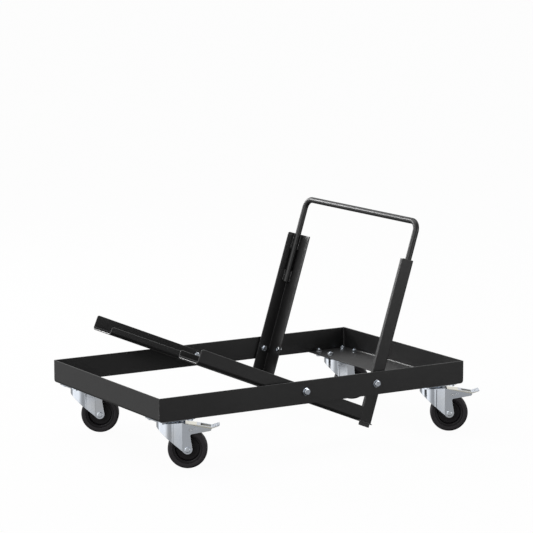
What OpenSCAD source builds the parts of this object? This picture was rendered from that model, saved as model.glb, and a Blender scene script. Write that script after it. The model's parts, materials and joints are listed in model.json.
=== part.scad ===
// Stacking chair trolley: a low sheet steel base on four swivel casters, with a sloping
// cradle of two rails and two uprights that carries the stack, and one bent push handle.
// Up is +Z and the floor is Z = 0. The push handle is at +X and the braked casters at -Y.
// The origin lies on the floor, under the centre of the whole trolley's bounding box.

/* [Base frame] */
// Length of the base, along X, in mm
frame_l = 923; // [900:1:1100]
// Width of the base over its side plates, along Y, in mm
frame_w = 577; // [560:1:680]
// Height of the side plates and end walls, in mm
wall_h = 61; // [58:1:75]
// Sheet thickness of side plates and end trays, in mm
sheet_t = 3; // [2:0.5:4]
// Depth of each end tray's shelf, along X, in mm
shelf_w = 123; // [119:1:140]
// Outer radius of the bend between end wall and shelf, in mm
shelf_bend = 8; // [5:0.5:10]

/* [Cradle] */
// Sheet thickness of rails and uprights, in mm
cradle_t = 3; // [2.5:0.5:4]
// Width of each rail over its two walls, in mm
rail_w = 98; // [90:1:110]
// Height of a rail's outer wall, in mm
rail_wall = 40; // [36:1:44]
// Height of a rail's inner lip, in mm
rail_lip = 22; // [16:1:30]
// Outer radius of the rail's bends, in mm
rail_bend = 9; // [6:0.5:12]
// Length of a rail from its heel to its upper end, in mm
rail_len = 561; // [480:1:600]
// Slope of the rails below the horizontal, in degrees
rail_slope = 22.5; // [20:0.1:24]
// Width of an upright's web, in mm
upright_w = 58; // [54:1:66]
// Depth of an upright's outer flange, in mm
upright_d = 37.5; // [35:0.5:42]
// Length of an upright from the heel, in mm
upright_len = 441; // [400:1:500]
// Lean of the uprights away from the vertical, in degrees
upright_lean = 17.3; // [16:0.05:20]
// Place of the heel along X, measured from the middle of the base, in mm
heel_x = 170; // [150:1:200]
// Distance of the uprights' backs behind the heel, in mm
upright_back = 2.5; // [0:0.5:3]
// Height of the heel below the underside of the base, in mm
heel_drop = 80.4; // [72:0.1:84]
// Thickness of the spacer between side plate and cradle, in mm
spacer_t = 5; // [3:0.5:8]

/* [Handle] */
// Diameter of the handle's round bar, in mm
bar_d = 16; // [12:1:20]
// Distance from the heel to the middle of the cross bar, in mm
handle_top = 542; // [520:1:600]
// Bend radius of the bar's centre line, in mm
handle_bend = 26; // [22:1:40]
// Length of bar lying inside each upright, in mm
handle_lap = 137; // [100:1:170]

/* [Casters] */
// Height of a caster from floor to plate top, in mm
caster_h = 130; // [130:1:140]
// Wheel diameter, in mm
wheel_d = 100; // [96:1:100]
// Tyre width, in mm
wheel_w = 32; // [28:1:33]
// Distance from swivel axis to wheel axle, in mm
trail = 43; // [40:0.5:44]
// Distance from the end of the base to the swivel axis, in mm
caster_in_x = 61; // [61:1:66]
// Distance from the outer face of a side plate to the swivel axis, in mm
caster_in_y = 53; // [50:1:70]
// Direction in which all four casters trail, turned from +X, in degrees
swivel_angle = -31.4; // [-40:0.1:-20]

/* [Brakes] */
// Distance from wheel axle to pedal tip, in mm
pedal_reach = 80; // [78:1:90]
// Width of a brake pedal, in mm
pedal_w = 36; // [30:0.5:36]

/* [Hidden] */
$fn = 48;
// Levels and faces of the base
base_z = caster_h;
base_top = base_z + wall_h;
end_x = frame_l / 2;
plate_y = frame_w / 2;
inner_y = plate_y - sheet_t;
// Cradle placement: outer face, heel height, clearance round the welded joint
cradle_y = inner_y - spacer_t;
heel_z = base_z - heel_drop;
joint_gap = 0.2;
rail_toe = 5;
tongue_w = upright_w - 12;
tongue_h = 10;
upright_bend = 4;
top_round = 5;
end_round = 5;
// Caster and axle fasteners, M8
m8_r = 4;
m8_hole = 4.3;
m8_af = 13;
m8_head = 5.3;
m8_nut = 6.5;
m8_washer_r = 8;
m8_washer_t = 1.6;
// Cradle fasteners, M10: positions on the rail wall and the upright flange
m10_r = 5;
m10_hole = 5.3;
m10_af = 16;
m10_head = 6.4;
m10_nut = 8.4;
m10_washer_r = 10;
m10_washer_t = 2;
rail_bolt_up = 231;
rail_bolt_n = rail_wall - 13.7;
post_bolt_up = 108;
post_bolt_u = upright_d - 14.8;
rail_bolt = [heel_x - rail_bolt_up * cos(rail_slope) + rail_bolt_n * sin(rail_slope),
             heel_z + rail_bolt_up * sin(rail_slope) + rail_bolt_n * cos(rail_slope)];
post_bolt = [heel_x + upright_back + post_bolt_up * sin(upright_lean) - post_bolt_u * cos(upright_lean),
             heel_z + post_bolt_up * cos(upright_lean) + post_bolt_u * sin(upright_lean)];
// Stop bolt through each upright's web, M6
stop_v = upright_w - 9;
stop_up = 117;
m6_r = 3;
m6_hole = 3.3;
// Handle bar placement against web and flange
bar_seat = cradle_t + bar_d / 2 + 0.05;
bar_y = cradle_y - bar_seat;
// Caster plate and its bolt pattern
plate_l = 105;
plate_w = 85;
plate_t = 4;
plate_r = 10;
hole_x = 80;
hole_y = 60;
caster_x = end_x - caster_in_x;
caster_y = plate_y - caster_in_y;
plate_z = base_z - plate_t;
// Swivel head levels, from the plate down
race_r = 29;
race_z = base_z - 10.6;
fork_top = race_z - 0.4;
fork_top_t = 3;
pin_r = 5;
pin_run = 0.05;
pin_head_r = 6.5;
pin_head_t = 3;
// Fork, measured from the axle
axle_z = wheel_d / 2;
fork_t = 2.5;
leg_in = wheel_w / 2 + 2.5;
leg_out = leg_in + fork_t;
boss_r = 12.5;
crease_x = trail - 12;
flare_x = trail - 33;
nose_c = -4;
nose_r = 31;
nose_rise = 0.93;
lid_z = fork_top - fork_top_t;
arm_tip_x = trail + 60;
// Wheel parts
sleeve_r = 6;
hub_r = 13;
hub_half = leg_in - 0.6;
tyre_in_r = wheel_d / 2 - 13;
shoulder_r = 5;
// Brake
brake_x = trail + 21;
brake_z = axle_z + 54.5;
brake_pin_r = 2.5;
pedal_t = 2.6;
pedal_back = trail - 6;
tip_x = trail + pedal_reach;
tip_r = 6;
shoe_gap = 1.4;
shoe_x = trail + 26;
slot_x0 = trail + 4;
slot_x1 = trail + 13.6;
slot_z0 = axle_z + 47.6;
slot_z1 = axle_z + 52;
// Middle of the bounding box, so that the origin lies under it
far_x = caster_x + (tip_x - tip_r) * cos(swivel_angle)
        - (pedal_w / 2 - tip_r) * sin(swivel_angle) + tip_r;
near_y = -caster_y + (tip_x - tip_r) * sin(swivel_angle)
         - (pedal_w / 2 - tip_r) * cos(swivel_angle) - tip_r;
rear_y = plate_y + m10_washer_t + m10_head;
mid_x = (far_x - end_x) / 2;
mid_y = (near_y + rear_y) / 2;
// Colours as seen
black_paint = [0.06, 0.06, 0.065];
zinc = [0.72, 0.75, 0.79];
black_rubber = [0.05, 0.045, 0.05];
black_plastic = [0.035, 0.033, 0.035];

// Placement helpers

module placed() {
    translate([-mid_x, -mid_y, 0]) children();
}

module rear() {
    mirror([0, 1, 0]) children();
}

// Front cradle, local x inward, y off the rail's floor, z down the slope
module on_rail() {
    translate([heel_x, -cradle_y, heel_z])
        rotate([0, rail_slope, 0])
            rotate([90, 0, 90]) children();
}

// Front cradle, local x inward, y towards the stack, z up the upright
module on_upright() {
    translate([heel_x + upright_back, -cradle_y, heel_z])
        rotate([0, upright_lean, 0])
            rotate([0, 0, 90]) children();
}

module at_caster(sx, sy) {
    translate([sx * caster_x, sy * caster_y, 0]) children();
}

module swivelled(sx, sy) {
    at_caster(sx, sy) rotate([0, 0, swivel_angle]) children();
}

module at_plate_holes() {
    for (x = [-1, 1], y = [-1, 1])
        translate([x * hole_x / 2, y * hole_y / 2, 0]) children();
}

module at_all_casters() {
    for (sx = [-1, 1], sy = [-1, 1])
        at_caster(sx, sy) children();
}

// Turns a shape drawn in x and z, so that it stands upright and is centred on y
module side_extrude(w) {
    translate([0, w / 2, 0]) rotate([90, 0, 0]) linear_extrude(w) children();
}

module hex_prism(af, h) {
    cylinder(d = af / cos(30), h = h, $fn = 6);
}

module quarter_ring(r, t) {
    intersection() {
        difference() {
            circle(r);
            circle(r - t);
        }
        translate([-r, -r]) square(r);
    }
}

// Base frame

module plate_outline() {
    translate([-end_x, base_z + shelf_bend]) square([frame_l, wall_h - shelf_bend]);
    translate([-end_x + shelf_bend, base_z]) square([frame_l - 2 * shelf_bend, wall_h]);
    for (s = [-1, 1])
        translate([s * (end_x - shelf_bend), base_z + shelf_bend]) circle(shelf_bend);
}

module side_plate() {
    difference() {
        translate([0, -plate_y + sheet_t / 2, 0]) side_extrude(sheet_t) plate_outline();
        for (p = [rail_bolt, post_bolt])
            translate([p[0], -plate_y - 1, p[1]])
                rotate([-90, 0, 0]) cylinder(r = m10_hole, h = sheet_t + 2);
    }
}

module front_side_plate() {
    color(black_paint) placed() side_plate();
}

module rear_side_plate() {
    color(black_paint) placed() rear() side_plate();
}

module tray_profile() {
    translate([end_x - sheet_t, base_z + shelf_bend]) square([sheet_t, wall_h - shelf_bend]);
    translate([end_x - shelf_w, base_z]) square([shelf_w - shelf_bend, sheet_t]);
    translate([end_x - shelf_bend, base_z + shelf_bend])
        mirror([1, 0]) quarter_ring(shelf_bend, sheet_t);
}

module end_tray() {
    difference() {
        side_extrude(2 * inner_y) tray_profile();
        for (sy = [-1, 1])
            at_caster(1, sy) at_plate_holes()
                translate([0, 0, base_z - 1]) cylinder(r = m8_hole, h = sheet_t + 2);
    }
}

module left_end_tray() {
    color(black_paint) placed() mirror([1, 0, 0]) end_tray();
}

module right_end_tray() {
    color(black_paint) placed() end_tray();
}

// Upright fillet beads in the four inner corners of the base
module frame_welds() {
    bead = 4;
    color(black_paint) placed()
        for (sx = [0, 1], sy = [0, 1])
            mirror([sx, 0, 0]) mirror([0, sy, 0])
                translate([end_x - sheet_t, inner_y, base_z + shelf_bend + 2])
                    linear_extrude(wall_h - shelf_bend - 4)
                        polygon([[0, 0], [-bead, 0], [-bead * 0.6, -bead * 0.6], [0, -bead]]);
}

// Cradle

module rail_profile() {
    translate([0, rail_bend]) square([cradle_t, rail_wall - rail_bend]);
    translate([rail_bend, rail_bend]) quarter_ring(rail_bend, cradle_t);
    translate([rail_bend, 0]) square([rail_w - 2 * rail_bend, cradle_t]);
    translate([rail_w - rail_bend, rail_bend]) mirror([1, 0]) quarter_ring(rail_bend, cradle_t);
    translate([rail_w - cradle_t, rail_bend]) square([cradle_t, rail_lip - rail_bend]);
}

// Cutter that rounds the upper corner of a rail's wall
module rail_corner(x, top) {
    difference() {
        translate([x - 1, top - end_round, -rail_len - 1])
            cube([cradle_t + 2, end_round + 1, end_round + 1]);
        translate([x - 2, top - end_round, -rail_len + end_round])
            rotate([0, 90, 0]) cylinder(r = end_round, h = cradle_t + 4);
    }
}

module rail() {
    foot_l = upright_d - 1 - upright_back;
    difference() {
        union() {
            difference() {
                on_rail() translate([0, 0, -rail_len])
                    linear_extrude(rail_len + rail_toe) rail_profile();
                // the outer wall and its bend end where the upright stands
                on_upright() translate([-1, -60, -60])
                    cube([rail_bend + 3, 60 + upright_d + joint_gap, 160]);
            }
            // flat foot under the upright
            on_rail() translate([0, 0, -foot_l])
                cube([rail_bend + 4, cradle_t, foot_l + rail_toe]);
        }
        // slot for the upright's tongue
        on_upright() translate([(upright_w - tongue_w) / 2 - joint_gap, -joint_gap, -30])
            cube([tongue_w + 2 * joint_gap, cradle_t + 2 * joint_gap, 60]);
        // rounded upper corners of wall and lip
        on_rail() rail_corner(0, rail_wall);
        on_rail() rail_corner(rail_w - cradle_t, rail_lip);
        // bolt hole in the outer wall
        on_rail() translate([-1, rail_bolt_n, -rail_bolt_up])
            rotate([0, 90, 0]) cylinder(r = m10_hole, h = cradle_t + 2);
    }
}

module front_rail() {
    color(black_paint) placed() rail();
}

module rear_rail() {
    color(black_paint) placed() rear() rail();
}

module upright_profile() {
    translate([upright_bend, 0]) square([upright_w - upright_bend, cradle_t]);
    translate([0, upright_bend]) square([cradle_t, upright_d - upright_bend]);
    translate([upright_bend, upright_bend]) quarter_ring(upright_bend, cradle_t);
}

module upright() {
    difference() {
        union() {
            difference() {
                on_upright() translate([0, 0, -30])
                    linear_extrude(upright_len + 30) upright_profile();
                // foot cut along the top of the rail's floor
                on_rail() translate([-10, -150, -150])
                    cube([upright_w + 20, 150 + cradle_t, 300]);
            }
            on_upright() translate([(upright_w - tongue_w) / 2, 0, -tongue_h])
                cube([tongue_w, cradle_t, tongue_h + cradle_t + 5]);
        }
        // rounded upper corner of the flange
        on_upright() difference() {
            translate([-1, upright_d - top_round, upright_len - top_round])
                cube([cradle_t + 2, top_round + 1, top_round + 1]);
            translate([-2, upright_d - top_round, upright_len - top_round])
                rotate([0, 90, 0]) cylinder(r = top_round, h = cradle_t + 4);
        }
        on_upright() translate([-1, post_bolt_u, post_bolt_up])
            rotate([0, 90, 0]) cylinder(r = m10_hole, h = cradle_t + 2);
        on_upright() translate([stop_v, -1, stop_up])
            rotate([-90, 0, 0]) cylinder(r = m6_hole, h = cradle_t + 2);
    }
}

module front_upright() {
    color(black_paint) placed() upright();
}

module rear_upright() {
    color(black_paint) placed() rear() upright();
}

// One bar bent to a wide U, its ends lying in the uprights
module handle_bar() {
    leg_z = upright_len - handle_lap;
    color(black_paint) placed()
        translate([heel_x + upright_back, 0, heel_z]) rotate([0, upright_lean, 0])
            translate([-bar_seat, 0, 0])
            union() {
                for (s = [0, 1])
                    mirror([0, s, 0]) {
                        translate([0, bar_y, leg_z])
                            cylinder(d = bar_d, h = handle_top - handle_bend - leg_z);
                        translate([0, bar_y - handle_bend, handle_top - handle_bend])
                            rotate([90, 0, 90]) rotate_extrude(angle = 90)
                                translate([handle_bend, 0]) circle(d = bar_d);
                    }
                translate([0, 0, handle_top]) rotate([90, 0, 0])
                    cylinder(d = bar_d, h = 2 * (bar_y - handle_bend), center = true);
            }
}

// Cradle fasteners

module at_cradle_bolts() {
    for (s = [0, 1], p = [rail_bolt, post_bolt])
        mirror([0, s, 0]) translate([p[0], -plate_y, p[1]]) rotate([-90, 0, 0]) children();
}

module cradle_bolts() {
    grip = sheet_t + spacer_t + cradle_t + m10_nut + 2.5;
    color(zinc) placed() at_cradle_bolts() {
        translate([0, 0, -m10_washer_t - m10_head]) hex_prism(m10_af, m10_head);
        translate([0, 0, -m10_washer_t - 0.5]) cylinder(r = m10_r, h = m10_washer_t + 0.5 + grip);
    }
}

module ring(r_out, r_in, h) {
    difference() {
        cylinder(r = r_out, h = h);
        translate([0, 0, -1]) cylinder(r = r_in, h = h + 2);
    }
}

module cradle_washers() {
    color(zinc) placed() at_cradle_bolts()
        translate([0, 0, -m10_washer_t]) ring(m10_washer_r, m10_hole, m10_washer_t);
}

module cradle_spacers() {
    color(zinc) placed() at_cradle_bolts()
        translate([0, 0, sheet_t]) ring(m10_washer_r, m10_hole, spacer_t);
}

module hex_nut(af, r_in, h) {
    difference() {
        hex_prism(af, h);
        translate([0, 0, -1]) cylinder(r = r_in, h = h + 2);
    }
}

module cradle_nuts() {
    color(zinc) placed() at_cradle_bolts()
        translate([0, 0, sheet_t + spacer_t + cradle_t]) hex_nut(m10_af, m10_r + 0.05, m10_nut);
}

module at_stop_bolts() {
    for (s = [0, 1])
        mirror([0, s, 0]) on_upright()
            translate([stop_v, 0, stop_up]) rotate([-90, 0, 0]) children();
}

module stop_bolts() {
    color(zinc) placed() at_stop_bolts() {
        translate([0, 0, cradle_t]) cylinder(r = 6, h = 3.5);
        translate([0, 0, -7]) cylinder(r = m6_r, h = cradle_t + 7.5);
    }
}

module stop_nuts() {
    color(zinc) placed() at_stop_bolts()
        translate([0, 0, -5]) hex_nut(10, m6_r + 0.05, 5);
}

// Caster fasteners: heads below the plate, nuts on the shelf

module caster_bolts() {
    color(zinc) placed() at_all_casters() at_plate_holes() {
        translate([0, 0, plate_z - m8_head]) hex_prism(m8_af, m8_head);
        translate([0, 0, plate_z - 0.5])
            cylinder(r = m8_r, h = 0.5 + plate_t + sheet_t + m8_washer_t + m8_nut + 2.5);
    }
}

module caster_washers() {
    color(zinc) placed() at_all_casters() at_plate_holes()
        translate([0, 0, base_z + sheet_t]) ring(m8_washer_r, m8_hole, m8_washer_t);
}

module caster_nuts() {
    color(zinc) placed() at_all_casters() at_plate_holes()
        translate([0, 0, base_z + sheet_t + m8_washer_t]) hex_nut(m8_af, m8_r + 0.05, m8_nut);
}

// Casters

module plate_plan() {
    square([plate_l - 2 * plate_r, plate_w], center = true);
    square([plate_l, plate_w - 2 * plate_r], center = true);
    for (x = [-1, 1], y = [-1, 1])
        translate([x * (plate_l / 2 - plate_r), y * (plate_w / 2 - plate_r)]) circle(plate_r);
}

// Mounting plate with the pressed ball race below it
module caster_plate(sx, sy) {
    color(zinc) placed() at_caster(sx, sy) difference() {
        union() {
            translate([0, 0, plate_z]) linear_extrude(plate_t) plate_plan();
            rotate_extrude()
                polygon([[0, race_z], [race_r - 2.5, race_z], [race_r, race_z + 2.5],
                         [race_r + 2, plate_z + 1], [0, plate_z + 1]]);
        }
        translate([0, 0, race_z - 1]) cylinder(r = pin_r + 0.02, h = 20);
        at_plate_holes() translate([0, 0, plate_z - 1]) cylinder(r = m8_hole, h = plate_t + 2);
    }
}

module kingpin(sx, sy) {
    pin_foot = lid_z - 0.4 - pin_head_t;
    color(zinc) placed() at_caster(sx, sy) {
        translate([0, 0, pin_foot]) cylinder(r = pin_head_r, h = pin_head_t);
        translate([0, 0, pin_foot + 0.5]) cylinder(r = pin_r, h = base_z - 0.5 - pin_foot - 0.5);
    }
}

// Plan outline of the fork's walls, drawn in by d
module fork_plan(d, back) {
    flare_y = sqrt(pow(nose_r - d, 2) - pow(flare_x - nose_c, 2));
    translate([nose_c, 0]) circle(nose_r - d);
    polygon([[crease_x, leg_out - d], [flare_x, flare_y], [flare_x - 5, 0],
             [flare_x, -flare_y], [crease_x, -leg_out + d]]);
    translate([crease_x - 0.01, -leg_out + d])
        square([back - crease_x + 0.01, 2 * (leg_out - d)]);
}

// Side outline of the fork's legs, and of the arms that carry a brake
module fork_side(braked) {
    leg_back = trail + 7;
    front = nose_c - nose_r - 1;
    edge_a = atan(nose_rise);
    edge_x = trail - boss_r * sin(edge_a);
    edge_z = axle_z - boss_r * cos(edge_a);
    translate([trail, axle_z]) circle(boss_r);
    polygon([[trail - boss_r, axle_z], [trail + boss_r, axle_z], [leg_back, axle_z + 34],
             [leg_back, braked ? axle_z + 50 : lid_z], [trail - boss_r, braked ? axle_z + 50 : lid_z]]);
    polygon([[edge_x, edge_z], [front, edge_z + (edge_x - front) * nose_rise],
             [front, fork_top - 0.5], [trail - 10, fork_top - 0.5], [trail, axle_z]]);
    if (braked) {
        polygon([[trail - 12, axle_z + 40], [leg_back - 1, axle_z + 38], [arm_tip_x - 3, axle_z + 47.6],
                 [arm_tip_x, axle_z + 50], [arm_tip_x, axle_z + 53],
                 [trail - 10, lid_z], [trail - 12, lid_z]]);
        // fillet under the root of the arm
        difference() {
            translate([leg_back - 2, axle_z + 31.8]) square([trail + 16.6 - leg_back, 10]);
            translate([trail + 14.6, axle_z + 31.8]) circle(8.2);
        }
    }
}

module fork(sx, sy, braked) {
    color(zinc) placed() swivelled(sx, sy) difference() {
        union() {
            intersection() {
                linear_extrude(fork_top) difference() {
                    fork_plan(0, arm_tip_x + 1);
                    fork_plan(fork_t, arm_tip_x + 3);
                }
                side_extrude(80) fork_side(braked);
            }
            translate([0, 0, lid_z]) linear_extrude(fork_top_t) {
                intersection() {
                    fork_plan(0, arm_tip_x);
                    translate([-50, -50]) square([trail - 10 + 50, 100]);
                }
            }
        }
        translate([0, 0, lid_z - 1]) cylinder(r = pin_r + pin_run, h = fork_top_t + 2);
        translate([trail, 40, axle_z]) rotate([90, 0, 0]) cylinder(r = m8_r + 0.05, h = 80);
        if (braked) {
            translate([brake_x, 40, brake_z]) rotate([90, 0, 0]) cylinder(r = brake_pin_r + 0.02, h = 80);
            translate([slot_x0, -40, slot_z0]) cube([slot_x1 - slot_x0, 80, slot_z1 - slot_z0]);
        }
    }
}

module axle_bolt(sx, sy) {
    color(zinc) placed() swivelled(sx, sy) translate([trail, -leg_out, axle_z]) rotate([-90, 0, 0]) {
        translate([0, 0, -m8_head]) hex_prism(m8_af, m8_head);
        translate([0, 0, -0.5]) cylinder(r = m8_r, h = 0.5 + 2 * leg_out + m8_nut + 1.5);
    }
}

module axle_nut(sx, sy) {
    color(zinc) placed() swivelled(sx, sy) translate([trail, leg_out, axle_z]) rotate([-90, 0, 0])
        hex_nut(m8_af, m8_r + 0.05, m8_nut);
}

module hub_sleeve(sx, sy) {
    color(zinc) placed() swivelled(sx, sy) translate([trail, -leg_in, axle_z]) rotate([-90, 0, 0])
        ring(sleeve_r, m8_r + 0.05, 2 * leg_in);
}

module wheel_core(sx, sy) {
    rim_r = tyre_in_r - 0.05;
    color(black_plastic) placed() swivelled(sx, sy) translate([trail, 0, axle_z]) rotate([90, 0, 0])
        rotate_extrude() {
            translate([sleeve_r + pin_run, -hub_half]) square([hub_r - sleeve_r - pin_run, 2 * hub_half]);
            translate([hub_r - 1, -4.5]) square([rim_r - hub_r - 4, 9]);
            polygon([[rim_r - 8, -4.5], [rim_r - 5.5, -wheel_w / 2 + 2.5], [rim_r, -wheel_w / 2 + 1.5],
                     [rim_r, wheel_w / 2 - 1.5], [rim_r - 5.5, wheel_w / 2 - 2.5], [rim_r - 8, 4.5]]);
        }
}

module tyre(sx, sy) {
    r_out = wheel_d / 2;
    color(black_rubber) placed() swivelled(sx, sy) translate([trail, 0, axle_z]) rotate([90, 0, 0])
        rotate_extrude($fn = 96) {
            translate([tyre_in_r, -wheel_w / 2]) square([r_out - shoulder_r - tyre_in_r, wheel_w]);
            translate([tyre_in_r, -wheel_w / 2 + shoulder_r])
                square([r_out - tyre_in_r, wheel_w - 2 * shoulder_r]);
            for (s = [-1, 1])
                translate([r_out - shoulder_r, s * (wheel_w / 2 - shoulder_r)]) circle(shoulder_r);
        }
}

// Brakes of the two front casters

module pedal_plan() {
    translate([pedal_back - 1, -pedal_w / 2]) square([tip_x - tip_r - pedal_back + 1, pedal_w]);
    translate([brake_x, -pedal_w / 2 + tip_r]) square([tip_x - brake_x, pedal_w - 2 * tip_r]);
    for (s = [-1, 1])
        translate([tip_x - tip_r, s * (pedal_w / 2 - tip_r)]) circle(tip_r);
}

module pedal_side() {
    low = arm_tip_x + 1;
    polygon([[pedal_back, axle_z + 65], [brake_x + 2, axle_z + 62.6], [low, axle_z + 56],
             [tip_x - 1, axle_z + 61.8], [tip_x, axle_z + 59.6], [low + 0.4, axle_z + 56 - pedal_t - 0.3],
             [brake_x + 2, axle_z + 62.6 - pedal_t], [pedal_back, axle_z + 65 - pedal_t]]);
}

module brake_pedal(sx, sy) {
    shoe_top = axle_z + 60;
    shoe_low = axle_z + sqrt(pow(wheel_d / 2 + shoe_gap, 2) - pow(shoe_x - trail, 2));
    cheek_t = 2.5;
    color(zinc) placed() swivelled(sx, sy) difference() {
        union() {
            difference() {
                intersection() {
                    side_extrude(pedal_w) pedal_side();
                    translate([0, 0, axle_z]) linear_extrude(90) pedal_plan();
                }
                translate([brake_x + 12, -pedal_w * 0.34, axle_z + 40])
                    cube([arm_tip_x - brake_x - 14, pedal_w * 0.68, 40]);
            }
            // flanges along the window
            for (s = [0, 1])
                mirror([0, s, 0]) translate([0, pedal_w / 2 - cheek_t / 2, 0]) side_extrude(cheek_t)
                    polygon([[brake_x + 3, axle_z + 61], [arm_tip_x, axle_z + 55], [arm_tip_x, axle_z + 50.5],
                             [brake_x + 3, axle_z + 55]]);
            // cheeks that hang on the pin
            for (s = [0, 1])
                mirror([0, s, 0]) translate([0, pedal_w / 2 - cheek_t / 2, 0]) side_extrude(cheek_t) {
                    translate([brake_x, brake_z]) circle(5.5);
                    polygon([[brake_x - 4, brake_z], [brake_x + 5.5, brake_z],
                             [brake_x + 12, axle_z + 60], [brake_x - 4, axle_z + 62]]);
                }
            // shoe that meets the tyre
            translate([shoe_x, -12, shoe_low]) cube([4, 24, shoe_top - shoe_low]);
        }
        translate([brake_x, 40, brake_z]) rotate([90, 0, 0])
            cylinder(r = brake_pin_r + pin_run, h = 80);
    }
}

module brake_pin(sx, sy) {
    color(zinc) placed() swivelled(sx, sy) translate([brake_x, 0, brake_z]) rotate([90, 0, 0])
        cylinder(r = brake_pin_r, h = 2 * leg_out - 0.2, center = true);
}

// Leaf spring over the wheel, its ends hooked through the slots in the fork
module brake_spring(sx, sy) {
    leaf = 1.2;
    x0 = slot_x0 + 0.5;
    w = slot_x1 - slot_x0 - 1;
    rise = slot_z1 + 0.4;
    color(zinc) placed() swivelled(sx, sy) union() {
        translate([x0, -leg_in + 0.4, rise]) cube([w, 2 * leg_in - 0.8, leaf]);
        for (s = [0, 1])
            mirror([0, s, 0]) {
                translate([x0, leg_in - 0.4 - leaf, slot_z0 + 0.5])
                    cube([w, leaf, rise - slot_z0 - 0.5 + leaf]);
                translate([x0, leg_in - 0.4 - leaf, slot_z0 + 0.5])
                    cube([w, leaf + 0.4 + fork_t + 0.3, slot_z1 - slot_z0 - 1]);
            }
    }
}

front_side_plate();
rear_side_plate();
left_end_tray();
right_end_tray();
frame_welds();
front_rail();
rear_rail();
front_upright();
rear_upright();
handle_bar();
cradle_bolts();
cradle_washers();
cradle_spacers();
cradle_nuts();
stop_bolts();
stop_nuts();
caster_bolts();
caster_washers();
caster_nuts();
caster_plate(-1, -1);  // caster_plate_fl
kingpin(-1, -1);  // kingpin_fl
fork(-1, -1, true);  // fork_fl
axle_bolt(-1, -1);  // axle_bolt_fl
axle_nut(-1, -1);  // axle_nut_fl
hub_sleeve(-1, -1);  // hub_sleeve_fl
wheel_core(-1, -1);  // wheel_core_fl
tyre(-1, -1);  // tyre_fl
caster_plate(1, -1);  // caster_plate_fr
kingpin(1, -1);  // kingpin_fr
fork(1, -1, true);  // fork_fr
axle_bolt(1, -1);  // axle_bolt_fr
axle_nut(1, -1);  // axle_nut_fr
hub_sleeve(1, -1);  // hub_sleeve_fr
wheel_core(1, -1);  // wheel_core_fr
tyre(1, -1);  // tyre_fr
caster_plate(-1, 1);  // caster_plate_rl
kingpin(-1, 1);  // kingpin_rl
fork(-1, 1, false);  // fork_rl
axle_bolt(-1, 1);  // axle_bolt_rl
axle_nut(-1, 1);  // axle_nut_rl
hub_sleeve(-1, 1);  // hub_sleeve_rl
wheel_core(-1, 1);  // wheel_core_rl
tyre(-1, 1);  // tyre_rl
caster_plate(1, 1);  // caster_plate_rr
kingpin(1, 1);  // kingpin_rr
fork(1, 1, false);  // fork_rr
axle_bolt(1, 1);  // axle_bolt_rr
axle_nut(1, 1);  // axle_nut_rr
hub_sleeve(1, 1);  // hub_sleeve_rr
wheel_core(1, 1);  // wheel_core_rr
tyre(1, 1);  // tyre_rr
brake_pedal(-1, -1);  // brake_pedal_fl
brake_pin(-1, -1);  // brake_pin_fl
brake_spring(-1, -1);  // brake_spring_fl
brake_pedal(1, -1);  // brake_pedal_fr
brake_pin(1, -1);  // brake_pin_fr
brake_spring(1, -1);  // brake_spring_fr
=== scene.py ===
"""Looks of the stacking chair trolley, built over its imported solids.

Sizes are in metres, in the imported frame, where no comment says millimetres. Each class stands for one
sub-assembly of the trolley. It takes the solids of its pieces, rounds their edges as the press brake, the saw
and the paint leave them, adds the weld beads, threads and grip ribs that the solids leave out, and gives each
piece its finish.
"""
import json
import logging
import math
from dataclasses import dataclass, field
from enum import Enum
from typing import Any, Callable, Iterable, Sequence

import bmesh
import bpy
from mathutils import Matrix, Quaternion, Vector

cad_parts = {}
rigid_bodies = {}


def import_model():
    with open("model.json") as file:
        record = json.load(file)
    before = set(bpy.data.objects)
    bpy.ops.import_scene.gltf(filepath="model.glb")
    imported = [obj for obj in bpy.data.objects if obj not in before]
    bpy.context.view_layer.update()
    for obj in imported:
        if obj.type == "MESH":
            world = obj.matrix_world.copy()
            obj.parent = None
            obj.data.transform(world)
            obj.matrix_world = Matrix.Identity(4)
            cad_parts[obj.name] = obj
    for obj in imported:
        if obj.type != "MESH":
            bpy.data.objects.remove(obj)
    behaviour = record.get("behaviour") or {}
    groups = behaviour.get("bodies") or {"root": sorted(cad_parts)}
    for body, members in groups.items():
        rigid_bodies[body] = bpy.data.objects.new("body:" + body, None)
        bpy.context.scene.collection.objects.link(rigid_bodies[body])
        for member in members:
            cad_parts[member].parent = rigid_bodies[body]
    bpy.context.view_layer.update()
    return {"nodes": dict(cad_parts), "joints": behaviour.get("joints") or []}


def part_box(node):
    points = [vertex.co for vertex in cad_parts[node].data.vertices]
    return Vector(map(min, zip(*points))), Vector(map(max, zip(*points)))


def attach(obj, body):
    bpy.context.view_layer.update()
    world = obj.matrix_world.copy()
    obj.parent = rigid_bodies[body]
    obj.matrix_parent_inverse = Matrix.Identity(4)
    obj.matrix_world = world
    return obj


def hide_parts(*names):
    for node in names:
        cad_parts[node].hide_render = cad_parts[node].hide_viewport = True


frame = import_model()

LOG = logging.getLogger("trolley")
MM = 0.001
BASE = "base"
UP = Vector((0.0, 0.0, 1.0))
SIGNS = (-1, 1)
WHITE = (1.0, 1.0, 1.0, 1.0)
NOISE_MEAN = 0.5
SMOOTH = 32.0  # degrees
MERGE_REACH = 2e-6
FLAT_ANGLE = math.radians(0.4)
FLAT_WEIGHT = 60

Colour = tuple[float, float, float]
Span = tuple[float, float]
Sizes = dict[str, float | int]
EdgeTest = Callable[[bmesh.types.BMEdge], bool]
Outward = Callable[[Vector], Vector]


class Look(Enum):
    """Finishes of the trolley, each named as its slot in the record."""

    BLACK = "black_coat"
    HARDWARE = "zinc_hardware"
    PRESSING = "zinc_pressing"
    PLASTIC = "wheel_plastic"
    RUBBER = "wheel_rubber"


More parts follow.
